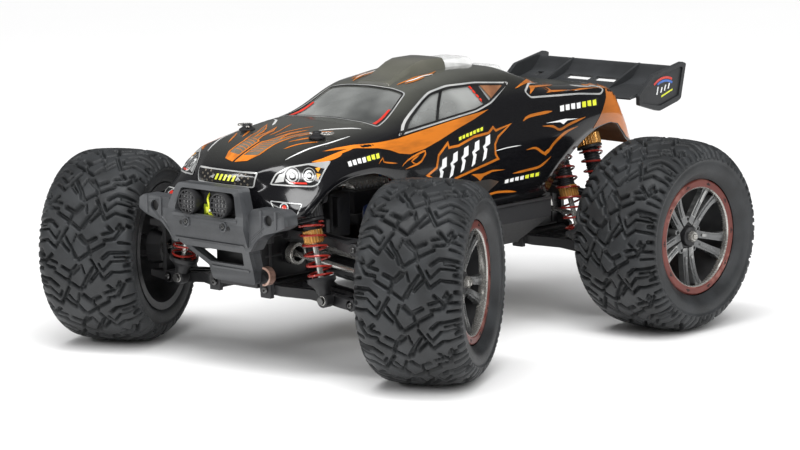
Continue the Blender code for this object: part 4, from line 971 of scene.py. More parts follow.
def build_window_frames():
    part = Part()
    line, border = 0.95, 1.1
    for outline, view, both in WINDOWS:
        ring(part, outline, line, view, 0, both=both)
        ring(part, outline, border, view, 1, 0.3, both, line)
    # The pillars, a bronze pane and the red cage bars behind the glass.
    patch(part, [(-3.8, 160.4), (-1.4, 160.6), (-18.6, 142.4), (-21.2, 142.0)], SIDE_VIEW, 1, 0.06)
    patch(part, [(19.5, 160.8), (26.0, 160.6), (30.4, 148.0), (25.0, 146.4)], SIDE_VIEW, 1, 0.06)
    patch(part, [(27.4, 159.8), (33.0, 150.0), (51.6, 157.9), (40.0, 159.0)], SIDE_VIEW, 3, 0.05)
    for k in range(4):
        z = 149.2 + 2.6 * k
        y = 23.2 - 1.35 * k
        patch(part, [(y, z), (y + 1.5, z + 0.4), (y + 0.5, z + 2.3), (y - 1.0, z + 1.9)], SIDE_VIEW, 2,
              0.06)
    patch(part, [(-52.4, 138.4), (-49.6, 138.8), (-42.5, 143.0), (-44.4, 142.8)], SIDE_VIEW, 2, 0.06)
    patch(part, [(34.6, -58.2), (37.9, -58.6), (33.6, -40.5), (31.9, -41.0)], "top", 2, 0.06)
    part.make("window_frames", "chassis", ["silver", "ink", "red_film", "bronze"], angle=50)


def build_lamps():
    """Headlamps, grille and the low fog lamp graphics on the nose."""
    part = Part()
    lamp = rounded([(-79.5, 115.4), (-76.0, 121.6), (-68, 125.4), (-58, 126.8), (-42.5, 128.2),
                    (-47, 122.5), (-50.5, 115.8), (-54, 114.6), (-66, 114.8)], 1.6)
    patch(part, lamp, CORNER_VIEW, 1, 0.08)
    patch(part, [(-76.5, 116.6), (-71, 117.4), (-70.6, 122.0), (-73.8, 121.0)], CORNER_VIEW, 0, 0.18)
    ring(part, lamp, 0.75, CORNER_VIEW, 0, 0.26)
    for u, z, r in ((-66.0, 120.6, 4.7), (-56.0, 121.0, 3.9)):
        patch(part, circle(u, z, r, 28), CORNER_VIEW, 0, 0.20, [circle(u, z, r - 0.3, 28)], step=2)
        patch(part, circle(u, z, r * 0.70, 24), CORNER_VIEW, 0, 0.20, step=2)
        patch(part, circle(u + 0.4, z - 0.3, r * 0.46, 20), CORNER_VIEW, 1, 0.30,
              [circle(u, z, r * 0.30, 16)], step=2)
        # The two white crescents in each lamp are painted glints.
        patch(part, arc(u, z, r * 0.60, 60, 170, 8) + arc(u, z, r * 0.42, 170, 60, 8), CORNER_VIEW, 2, 0.32,
              step=2)
        patch(part, arc(u, z, r * 0.90, 210, 300, 8) + arc(u, z, r * 0.80, 300, 210, 8), CORNER_VIEW, 2,
              0.20, step=2)
    patch(part, [(-52.2, 124.6), (-48.6, 125.4), (-50.6, 122.6)], CORNER_VIEW, 3, 0.20)
    patch(part, [(-51.6, 122.0), (-49.2, 121.6), (-51.0, 118.6)], CORNER_VIEW, 3, 0.20)
    patch(part, [(-68, 116.4), (-57, 116.2), (-57.6, 117.2), (-67, 117.3)], CORNER_VIEW, 4, 0.20)
    grille = rounded([(-25.2, 122.2), (25.2, 122.2), (24.2, 113.2), (-24.2, 113.2)], 1.8)
    patch(part, grille, NOSE_VIEW, 1, 0.10, both=False)
    ring(part, grille, 0.75, NOSE_VIEW, 0, 0.26, both=False)
    for k in range(9):
        for row in range(4):
            u = -19.6 + 4.9 * k + (2.4 if row % 2 else 0)
            if abs(u) < 21 and not abs(u) < 9:
                patch(part, circle(u, 114.9 + 1.9 * row, 0.75, 6), NOSE_VIEW, 5, 0.22, both=False, step=3)
    for k in range(5):
        u = -7.6 + 3.6 * k
        patch(part, [(u, 116.0), (u + 1.9, 116.0), (u + 3.1, 119.4), (u + 1.2, 119.4)], NOSE_VIEW, 6, 0.22,
              both=False)
    patch(part, [(-12.4, 117.2), (-9.2, 116.4), (-8.0, 119.0)], NOSE_VIEW, 0, 0.22, both=False)
    patch(part, [(14.0, 117.0), (11.0, 119.2), (10.0, 116.6)], NOSE_VIEW, 0, 0.22, both=False)
    fog = rounded([(-79.5, 107.0), (-60.0, 106.0), (-63.5, 99.8), (-70, 98.2), (-76, 99.8)], 1.4)
    ring(part, fog, 0.55, CORNER_VIEW, 0, 0.18)
    patch(part, circle(-71.0, 103.6, 2.6, 18), CORNER_VIEW, 0, 0.18, [circle(-71.0, 103.6, 1.9, 18)],
          step=2)
    patch(part, circle(-71.0, 103.6, 1.4, 12), CORNER_VIEW, 4, 0.18, step=2)
    part.make("nose_lamps", "chassis", ["silver", "ink", "white", "amber", "red_film", "mesh_grey",
                                        "yellow"],
              angle=50)


def build_flames():
    """The orange graphics: band below the windows, claws and flames."""
    part = Part()
    side = SIDE_VIEW
    band = [(-113, 132.8), (-104, 133.9), (-92, 134.8), (-74, 134.9), (-58, 135.4), (-40, 137.4),
            (-18, 139.8), (4, 142.0), (16, 143.0), (27, 144.2), (12, 139.4), (-4, 135.2), (-22, 130.0),
            (-36, 126.6), (-50, 125.0), (-60, 126.6), (-68, 129.6), (-78, 131.8), (-92, 133.2)]
    patch(part, band, side, 0)
    for points, width, taper in (([(-124, 127.6), (-114, 129.4), (-104, 131.6)], 1.3, (0.1, 0.1)),
                                 ([(-95, 133.2), (-108, 131.2), (-120, 128.8)], 0.8, (0.1, 0.1)),
                                 ([(-81, 122.8), (-76, 125.8), (-76, 123.4), (-64, 121.2)], 0.9,
                                  (0.1, 0.1)),
                                 ([(-59.5, 118.8), (-54, 121.6), (-36, 125.4), (-39, 121.0), (-44, 118.6),
                                   (-57, 116.8)], 1.2, (0.2, 0.1)),
                                 ([(-42, 123.4), (-50, 120.6), (-46, 118.8)], 1.0, (0.1, 0.1)),
                                 ([(57.5, 133.6), (64, 136.2), (85, 137.2)], 1.9, (0.1, 0.1)),
                                 ([(74.5, 128.7), (84, 127.6), (90, 125.0), (100, 127.6), (115, 130.6)],
                                  1.6, (0.1, 0.1)),
                                 ([(57.5, 115.4), (66.5, 115.6), (75.5, 111.2), (84, 117.0), (95, 122.6),
                                   (107, 125.4)], 1.8, (0.1, 0.1)),
                                 ([(43.5, 102.0), (58, 102.6), (70, 103.6), (80.5, 108.6)], 1.5,
                                  (0.1, 0.1)),
                                 ([(15.5, 90.8), (28, 92.0), (46, 90.2)], 1.4, (0.1, 0.1))):
        stroke(part, points, width, side, 0, 0.14, taper=taper)
    patch(part, [(4.5, 106.2), (10, 103.0), (12.2, 101.0), (16, 103.6), (24, 105.4), (36.5, 105.4),
                 (24, 106.6), (15, 105.4)], side, 0)
    patch(part, [(75.5, 109.6), (79.8, 114.0), (77.5, 113.6), (74.4, 112.0), (66, 116.2), (71, 112.6)],
          side, 0)
    emblem = [(-38, 110.4), (-28, 114.6), (-25, 121.8), (-14, 129.0), (-13.4, 125.6), (-5, 125.8),
              (10, 129.6), (24, 130.6), (28.8, 133.8), (31.2, 131.4), (46.8, 133.6), (33, 126.0),
              (29.4, 121.8), (29, 116.2), (31.6, 112.4), (4, 107.2), (-10.6, 104.6), (-13.4, 99.6),
              (-22, 100.6), (-27, 104.4)]
    ring(part, emblem, 1.5, side, 0, 0.14)
    patch(part, inset(emblem, 1.5), side, 1, 0.10)
    quarter = [(72, 154.2), (84, 153.2), (106, 151.2), (88, 152.0), (77, 152.6), (68, 149.4), (71.5, 152.4)]
    patch(part, quarter, side, 0, 0.2)
    patch(part, [(89, 151.8), (88.4, 149.9), (104, 148.7), (83, 148.9), (90, 150.0)], side, 0, 0.2)
    top = "top"
    claw = [(0.9, -143.2), (9.5, -140.8), (13.4, -134), (13.8, -121), (17.5, -106), (28.5, -86),
            (17.0, -98), (12.6, -105), (10.6, -113), (9.2, -106), (13.6, -92), (7.4, -101), (5.6, -112),
            (3.4, -118), (0.9, -120)]
    ring(part, claw, 1.15, top, 0, 0.16)
    patch(part, inset(claw, 1.5), top, 2, 0.10)
    patch(part, [(1.4, -142.4), (9.0, -140.2), (11.8, -134.6), (1.4, -136.6)], top, 0, 0.18)
    for k in range(6):
        y = -133.4 + 2.7 * k
        stroke(part, [(1.8, y), (6.5, y + 2.4), (12.0, y + 3.2)], 0.42, top, 0, 0.18, taper=(0.6, 0.2))
    stroke(part, [(2.4, -110), (3.4, -100), (9.5, -84)], 1.0, top, 0, taper=(0.2, 0.1))
    stroke(part, [(20, -116), (25, -106), (31, -98)], 1.6, top, 0, taper=(0.1, 0.1))
    stroke(part, [(24, -124), (29, -114), (35, -106)], 1.2, top, 0, taper=(0.1, 0.1))
    stroke(part, [(19, -19), (20.5, -10), (19.5, -2), (22, 8), (20.0, 16)], 2.2, top, 0, 0.4,
           taper=(0.1, 0.1))
    stroke(part, [(23, -16), (24.5, -8), (23.5, 2)], 1.6, top, 0, 0.4, taper=(0.1, 0.1))
    edge = [(58, 154.0), (74, 156.6), (96, 154.2), (117, 151.9), (133, 149.9), (146, 147.6)]
    stroke(part, edge, 2.4, side, 0, 0.34, taper=(0.1, 0.8))
    part.make("flame_films", "chassis", ["orange", "ink", "mesh_grey"], angle=50)


def build_tail_film():
    part = Part()
    tail = [(141, 148.4), (147.4, 148.2), (151, 143), (156, 133.2), (160.5, 127), (166, 116), (168, 109.4),
            (160, 112.6), (154, 117.6), (148, 123.0), (140, 124.8), (130, 123.6), (122, 122.0), (128, 128),
            (133, 134), (138.5, 140.5)]
    patch(part, tail, SIDE_VIEW, 0)
    patch(part, [(-7, 98.8), (6, 101.4), (22, 101.0), (30, 98.6), (18, 92.6), (4, 88.8)], SIDE_VIEW, 1)
    part.make("tail_film", "chassis", ["tail_orange", "lining"], angle=50)


CELLS = 7                       # cells in each bar that stands in for lettering


def build_marks():
    """Silver lines, generic badges and bars in place of the lettering."""
    part = Part()
    side = SIDE_VIEW
    for k in range(5):
        y, z = -27.0 + 10.6 * k, 104.8 + 2.3 * k
        bar = [(y, z - 1.0), (y + 3.4, z + 0.6), (y + 5.6, z + 6.2), (y + 4.0, z + 7.4), (y + 8.6, z + 9.0),
               (y + 9.8, z + 14.8), (y + 5.6, z + 13.6), (y + 4.4, z + 9.6), (y + 1.8, z + 8.0),
               (y + 2.6, z + 5.2)]
        patch(part, bar, side, 0, 0.18)
        ring(part, inset(bar, -0.55), 0.45, side, 2, 0.16)
    for (y, z), (dy, dz), length, height, inks in (
            ((-107, 123.2), (0.995, 0.08), 30, 4.2, (0, 3)), ((-5, 127.2), (0.985, 0.17), 26, 3.4, (3, 3)),
            ((91, 135.6), (1.0, 0.02), 38, 5.0, (0, 3)), ((34, 96.0), (1.0, 0.03), 36, 3.6, (0, 3))):
        along, across = Vector((dy, dz)), Vector((-dz, dy))
        base = Vector((y, z))

        def at(s, t):
            return tuple(base + along * s + across * t)

        plate = rounded([at(0, 0), at(length, 0), at(length + 1.0, height), at(1.0, height)], 0.8)
        patch(part, plate, side, 1, 0.14)
        for k in range(CELLS):
            s = 1.3 + (length - 1.6) * k / CELLS
            w = (length - 1.6) / CELLS * 0.66
            lift = 0.12 * height * (k % 3)
            cell = [at(s, 0.6 + lift * 0.4), at(s + w, 0.6), at(s + w + 0.7, height - 0.7),
                    at(s + 0.5, height - 0.9 + lift * 0.2)]
            patch(part, cell, side, inks[0] if k < 4 else inks[1], 0.26)
    ring(part, REAR_RECESS, 1.1, side, 4, 0.20)
    for points, width in (([(33.6, -132.5), (37.5, -120), (41, -104), (42.6, -86)], 1.1),
                          ([(20, -90), (26, -82), (33, -74), (38, -71.5)], 1.6)):
        stroke(part, points, width, "top", 0, 0.14, taper=(0.1, 0.1))
    stroke(part, [(28.5, 118.0), (40, 118.8), (53, 118.9)], 0.5, side, 0, taper=(0.2, 0.1))
    patch(part, [(78, 130.2), (96, 131.2), (108, 130.2), (98, 130.0), (93.6, 128.0), (91, 129.6)], side, 0)
    for flip in (-1, 1):
        curl = [(flip * 13, -1), (flip * 9, 5), (flip * 2, 4), (flip * 3, -5)]
        stroke(part, curl, 0.8, "top", 0, 0.3, both=False, taper=(0.1, 0.1))
    stroke(part, [(21.4, -14), (22.4, -6), (21.8, 2), (24, 9)], 1.3, "top", 0, 0.45, taper=(0.1, 0.1))
    part.make("marks_film", "chassis", ["white", "ink", "ink", "yellow", "silver"], angle=50)


SCOOP_STEPS = 8


def scoop(name, material, *humps):
    """One or more humps, each running from y0 to y1 while its half width, top and base change."""
    part = Part()
    for (y0, y1), halves, tops, bases in humps:
        rows = []
        for k in range(SCOOP_STEPS + 1):
            t = k / SCOOP_STEPS
            lift = min(1.0, t * 1.5)
            rise = lift * lift * (3 - 2 * lift)
            y = y0 + (y1 - y0) * t
            half = halves[0] + (halves[1] - halves[0]) * t
            top = tops[0] + (tops[1] - tops[0]) * rise
            base = bases[0] + (bases[1] - bases[0]) * t
            section = [(half + 2.0, base), (half, base + (top - base) * 0.75), (half - 2.2, top),
                       (half * 0.5, top + 0.3), (0, top + 0.4)]
            rows.append([(x, y, z) for x, z in section] + [(-x, y, z) for x, z in reversed(section[:-1])])
        width = len(rows[0])
        faces = [(i * width + j, i * width + j + 1, (i + 1) * width + j + 1, (i + 1) * width + j)
                 for i in range(SCOOP_STEPS) for j in range(width - 1)]
        faces.append(tuple(SCOOP_STEPS * width + j for j in range(width)))
        faces.append(tuple(reversed(range(width))))
        bm = bmesh.new()
        made = [bm.verts.new(v) for row in rows for v in row]
        for face in faces:
            bm.faces.new([made[i] for i in face])
        bmesh.ops.recalc_face_normals(bm, faces=bm.faces)
        part.absorb(bm)
    part.make(name, "chassis", [material], bevel=0.8)


COLLAR_BASE = 136.6             # the height at which the collar below is drawn


def build_clips():
    """Body posts' black tops and the bent wire clips through them."""
    for hand, side in SIDES:
        part = Part(Matrix.Translation((side * POST.x, POST.y, cling("top", 0)(POST).z - COLLAR_BASE)))
        part.lathe([(3.0, COLLAR_BASE), (5.0, 136.9), (5.2, 137.9), (3.7, 138.8), (3.1, 139.1)], 32, 0,
                   ring=True)
        part.lathe([(0, 134), (2.9, 134), (2.9, 140.6), (2.3, 141.2), (0, 141.2)], 28, 0)
        loop = smooth_line([(-1.2, -4.6, 139.8), (-0.8, -1.0, 139.7), (-2.4, 2.6, 139.8),
                            (-4.2, 5.6, 139.8),
                            (-3.2, 9.0, 139.9), (0.5, 10.2, 139.9), (3.9, 8.6, 139.9), (4.3, 5.6, 139.8),
                            (2.2, 3.0, 139.8), (0, 1.4, 139.7), (0, -4.6, 139.7)], 0.8)
        part.tube(loop, 0.55, 1, matrix=Matrix.Rotation(side * math.radians(-58), 4, "Z"))
        part.make(f"{hand}_body_clip", "chassis", ["black", "steel"], bevel=0.15)


build_shell()
build_panes()
build_window_frames()
build_lamps()
build_flames()
build_tail_film()
build_marks()
scoop("roof_scoop", "olive", ((-21, 29), (13, 16), (163.2, 174.2), (160, 163)))
scoop("clear_fins", "clear", ((29.5, 57), (15, 14), (172.2, 172.0), (163, 160)),
      ((57.5, 87), (14, 13), (165.4, 163.8), (158, 152)))
build_clips()


# ---------------------------------------------------------------- suspension
def end_y(end):
    return FRONT if end == "front" else REAR


def corner_point(name):
    """The place of a front left joint, drawn with its axle at y = 0."""
    point = joint_point("front_left_" + name)
    return Vector((point.x, point.y - FRONT, point.z))


def corner_at(end, side):
    return Matrix.Translation((0, end_y(end), 0)) @ Matrix.Diagonal((side, 1, 1, 1))


ARM_IN = corner_point("suspension")
ARM_OUT = corner_point("caster_block_tilt")
UPPER_RISE = corner_point("upper_arm_swing") - ARM_IN
DIFF = corner_point("driveshaft_swing")
KINGPIN = corner_point("steer")
ARM_LENGTH = (ARM_OUT - ARM_IN).length
EYE_OUT = 15.5                   # the middle of a shock's eye, from the axle line
PIN = 1.5                        # a shock pin's radius
PIN_END = 19.4                   # and how far it reaches from the axle line
FORK_DEPTH = 6.2                 # how deep an arm's fork is round its outer hinge
EYE_HALF = 3.1                   # half the width of a shock's eye
HINGE_END = 25.6                 # the inner hinge pins' heads, from the axle line
SHOCKS = {"front": {"eye": Vector((63.0, 0, 47.0)), "top": Vector((48.5, 0, 107.0)), "turns": 6.5},
          "rear": {"eye": Vector((70.0, 0, 46.5)), "top": Vector((46.0, 0, 121.0)), "turns": 8.5}}
SHOCK_NAMES = {"front": (("shock", -1),), "rear": (("fore_shock", -1), ("aft_shock", 1))}


def arm_at(start):
    """Maps (along the arm, forward or back, up) onto a left arm that starts at its inner hinge."""
    run = ARM_OUT - ARM_IN
    return Matrix.Translation(start) @ Matrix.Rotation(math.atan2(-run.z, run.x), 4, "Y")


def both_ways(points):
    """The +V half of an arm's outline, from its tip to its root, followed by the other half."""
    return points + [(u, -v) for u, v in reversed(points)]


def screw_head(part, place, out, radius=2.4, material=1):
    """A button head with a hex socket, standing on place and pointing along out."""
    part.lathe([(radius * 0.42, 0.5), (radius * 0.42, 1.3), (radius * 0.75, 1.2), (radius, 0.5),
                (radius, 0), (0.3, 0), (0.3, 0.5)], 18, material, pointing(place, out), ring=True)


def arm_body(part, tube_half, plan, holes, web, depth, matrix):
    """An arm drawn along X: its frame, a thin web, the tube on its inner pin and its forked tip."""
    length = ARM_LENGTH
    part.slab(both_ways(plan), -depth, depth, "XY", holes, 0, matrix)
    part.slab(both_ways(web), -depth * 0.35, depth * 0.35, "XY", matrix=matrix)
    part.lathe([(1.7, -tube_half), (3.6, -tube_half), (4.2, 0.6 - tube_half), (4.2, tube_half - 0.6),
                (3.6, tube_half), (1.7, tube_half)], 32, 0, matrix @ Matrix.Rotation(math.pi / 2, 4, "X"),
               ring=True)
    low, high = plan[0][1], plan[2][1]
    for s in (-1, 1):
        part.bar(matrix @ Vector((length, s * low, 0)), matrix @ Vector((length, s * high, 0)), 3.7, 0,
                 steps=28)
        screw_head(part, matrix @ Vector((length, s * high, 0)), matrix.to_3x3() @ Vector((0, s, 0)), 1.9)


def build_lower_arm(end, hand, side):
    corner = f"{end}_{hand}"
    part = Part(corner_at(end, side))
    place = arm_at(ARM_IN)
    fork, tine, root = 7.4, 11.6, ARM_LENGTH - FORK_DEPTH
    plan = [(root, fork), (ARM_LENGTH, fork), (ARM_LENGTH, tine), (48, tine), (40, 10.8), (25, 11.4),
            (9, 20.4), (1, 21.4)]
    holes = [[(u, s * v) for u, v in hole] for s in (-1, 1)
             for hole in ([(8, 1.6), (8, 17.4), (22, 9.4), (22, 1.6)], [(26, 1.6), (26, 8.6), (44, 8.4),
                                                                        (46, 1.6)])]
    arm_body(part, 21.8, plan, holes, [(47, 9), (25, 9.2)], 3.1, place)
    for s in (-1, 1):
        part.box((26, s * 4.4 - 0.6, -2.6), (46, s * 4.4 + 0.6, 2.6), 0, place)
    eye = SHOCKS[end]["eye"]
    for _, way in SHOCK_NAMES[end]:
        part.bar(eye + Vector((0, way * 8.4, 0)), eye + Vector((0, way * 11.6, 0)), 3.7, 0, end_radius=3.0)
        part.bar(eye + Vector((0, way * 11, 0)), eye + Vector((0, way * PIN_END, 0)), PIN, 1)
        part.bar(eye + Vector((0, way * 18.9, 0)), eye + Vector((0, way * 20.6, 0)), 2.7, 1, steps=6)
    part.make(corner + "_lower_arm_detail", corner + "_lower_arm", ["black", "dark_steel"],
              [corner + "_lower_arm"], bevel=0.35)


def build_upper_arm(end, hand, side):
    corner = f"{end}_{hand}"
    part = Part(corner_at(end, side))
    fork, tine, root = 5.4, 9.3, ARM_LENGTH - FORK_DEPTH
    plan = [(root, fork), (ARM_LENGTH, fork), (ARM_LENGTH, tine), (49, 9.0), (38, 4.6), (20, 4.6), (7, 8.4),
            (1, 8.8)]
    holes = [[(8, -4.8), (19, -2.0), (19, 2.0), (8, 4.8)], [(23, -2.4), (38, -2.4), (45, -3.6), (45, 3.6),
                                                            (38, 2.4), (23, 2.4)]]
    arm_body(part, 8.8, plan, holes, [(46, 3.8), (22, 3.0)], 2.5, arm_at(ARM_IN + UPPER_RISE))
    part.make(corner + "_upper_arm_detail", corner + "_upper_arm", ["black", "dark_steel"],
              [corner + "_upper_arm"], bevel=0.3)


def build_driveshaft(end, hand, side):
    corner = f"{end}_{hand}"
    span = KINGPIN - DIFF
    length = span.length
    part = Part(corner_at(end, side) @ pointing(DIFF, span))
    ball = [(0.0, 3.0), (1.7, 2.6), (2.9, 1.0), (3.1, 0.0), (2.9, -1.0), (2.1, -2.6)]
    low = [(r, -z) for r, z in ball]
    high = [(r, length + z) for r, z in reversed(ball)]
    part.lathe(low + [(1.7, 4.2), (1.7, length - 4.2)] + high, 24, 0)
    for z in (0, length):
        part.bar((-4.0, 0, z), (4.0, 0, z), 0.9, 0)
    part.make(corner + "_dogbone", corner + "_driveshaft", ["steel"],
              [corner + "_driveshaft"])


# ---------------------------------------------------------------- shock absorbers
def shock_at(end, side, way):
    """Maps a shock drawn down from its top eye onto the truck, with its length."""
    top, run = SHOCKS[end]["top"], SHOCKS[end]["eye"] - SHOCKS[end]["top"]
    lean = Matrix.Rotation(-math.atan2(run.x, -run.z), 4, "Y")
    place = corner_at(end, side) @ Matrix.Translation(top + Vector((0, way * EYE_OUT, 0))) @ lean
    return place, run.length


def ridged(count, height, above):
    """A wobble for lathe: count ridges round every part of the profile above a radius."""
    return lambda a, r, z: r + (height * math.cos(count * a) if r > above else 0)


def shock_eye(part, height):
    """The eye at either end of a shock, bored for its pin, with a steel bush."""
    turn = Matrix.Translation((0, 0, height)) @ Matrix.Rotation(math.pi / 2, 4, "X")
    half = EYE_HALF
    part.lathe([(2.7, -half), (4.0, -half), (4.3, -2.8), (4.3, 2.8), (4.0, half), (2.7, half)], 32, 0, turn,
               ring=True)
    part.lathe([(2.1, -3.25), (2.9, -3.25), (2.9, 3.25), (2.1, 3.25)], 24, 1, turn, ring=True)


def build_shock_body(name, body, place, length):
    """The top cap with its knurling and collar, the ribbed and bored cylinder, and the seal cap."""
    part = Part(place)
    cap_finish = 2 if name.startswith("rear") else 0
    part.lathe([(0, -3.0), (3.8, -3.2), (5.6, -4.0), (7.9, -4.6), (8.1, -5.2), (8.1, -11.6), (7.6, -12.2),
                (5.0, -12.4), (2.4, -12.4), (2.4, -5.0), (0, -5.0)], 144, cap_finish,
               wobble=ridged(24, 0.32, 5.6))
    part.lathe([(5.0, -12.2), (8.2, -12.3), (8.4, -12.8), (8.4, -13.8), (8.1, -14.1), (5.0, -14.2)], 48, 0,
               ring=True)
    ribs, rib_pitch = [(5.0, -14.0)], 1.8
    z = -15.0
    while z > 43.4 - length:
        ribs += [(5.25, z), (5.25, z - 0.9), (4.95, z - 1.1), (4.95, z - 1.7)]
        z -= rib_pitch
    ribs += [(5.0, 42.4 - length), (2.4, 42.4 - length)]
    part.lathe([(2.4, -12.2)] + ribs, 32, 0, ring=True)
    seal = [(2.0, 42.6), (5.4, 42.6), (5.9, 42.2), (5.9, 35.4), (5.3, 34.4), (2.6, 34.2), (2.0, 34.2)]
    part.lathe([(r, z - length) for r, z in seal], 120, 2, ring=True, wobble=ridged(20, 0.22, 5.6))
    shock_eye(part, 0)
    part.make(name, body, ["black", "steel", "gold"], [name.replace("_cylinder", "_body")],
              bevel=0.15)


def build_shock_rod(name, body, place, length):
    part = Part(place)
    part.bar((0, 0, 44.0 - length), (0, 0, 7.0 - length), 1.75, 1, steps=24)
    cup = [(0, 8.4), (5.4, 8.6), (6.3, 10.4), (6.5, 13.2), (7.2, 13.9), (8.7, 14.0), (8.9, 13.4),
           (8.7, 11.4), (7.0, 9.8), (4.8, 7.0), (4.2, 4.6), (3.6, 3.2), (0, 3.1)]
    part.lathe([(r, z - length) for r, z in cup], 40, 0)
    shock_eye(part, -length)
    part.make(name, body, ["black", "steel"], [name.replace("_piston", "_rod")], bevel=0.2)


def build_spring(name, place, length, turns):
    """A coil with closed ends, between the shock's two bodies."""
    high, low = -15.1, 15.0 - length
    coil_radius, wire_radius, wire_pitch = 7.3, 0.72, 1.8
    count = round(turns * 24)
    closed = 0.8 / turns
    points = []
    for i in range(count + 1):
        t = i / count
        inner = min(max((t - closed) / (1 - 2 * closed), 0), 1)
        end = (min(t, closed) + max(t - 1 + closed, 0)) * turns * 1.1
        height = high + (low - high + wire_pitch * closed * turns) * inner - end
        a = 2 * math.pi * turns * t
        points.append((coil_radius * math.cos(a), coil_radius * math.sin(a), height))
    part = Part(place)
    part.tube(points, wire_radius)
    finish = "red" if name.startswith("front") else "dark_red"
    coil = part.make(name, None, [finish], [name.replace("_coil", "_spring")])
    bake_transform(coil)


def build_shocks(end, hand, side):
    for kind, way in SHOCK_NAMES[end]:
        label = f"{end}_{hand}_{kind}"
        place, length = shock_at(end, side, way)
        build_shock_body(label + "_cylinder", label + "_upper", place, length)
        build_shock_rod(label + "_piston", label + "_lower", place, length)
        build_spring(label + "_coil", place, length,
                     SHOCKS[end]["turns"])


def build_tie_rod(hand, side):
    """A turnbuckle rod between two plastic ball ends."""
    inner = joint_point(hand + "_tie_rod_swing")
    low, high = node_box(hand + "_tie_rod")
    end_half = 3.6              # from a ball's middle to the edge of its plastic end
    outer_x = high.x - end_half if side > 0 else low.x + end_half
    outer_y = high.y - end_half if abs(high.y - inner.y) > abs(low.y - inner.y) else low.y + end_half
    ball = Vector((outer_x, outer_y, inner.z - 2.4))
    part = Part()
    along = (ball - inner).normalized()
    part.bar(inner + along * 2.0, ball, 1.5, 1)
    part.bar(inner + along * 9.0, ball - along * 9.0, 2.1, 1, steps=6)
    part.bar(inner + along * 2.0, inner + along * 9.0, 2.2, 0, end_radius=2.0)
    part.bar(ball - along * 9.0, ball - along * 2.0, 2.0, 0, end_radius=2.2)
    part.bar(inner - Vector((0, 2.3, 0)), inner + Vector((0, 2.3, 0)), 3.1, 0)
    part.bar(ball - Vector((0, 0, 2.1)), ball + Vector((0, 0, 2.1)), 3.4, 0)
    screw_head(part, ball + Vector((0, 0, 2.0)), (0, 0, 1), 2.0)
    part.make(hand + "_track_rod", hand + "_tie_rod", ["black", "steel"],
              [hand + "_tie_rod"], bevel=0.2)


# ---------------------------------------------------------------- front bumper and its lamps
LAMP = Vector((13.7, -162.6, 104.0))


# The bumper's front face from the side, as points (z, y).
BUMPER_FACE = ((53, -145), (62, -147.5), (77, -161), (80.5, -164.6), (91, -168.4), (100, -167.6),
               (112, -165.6), (114.5, -164.6))


def bumper_face(z):
    return float(np.interp(z, *zip(*BUMPER_FACE)))


def onto_face(p):
    return Vector((p.x, p.y + bumper_face(p.z), p.z))


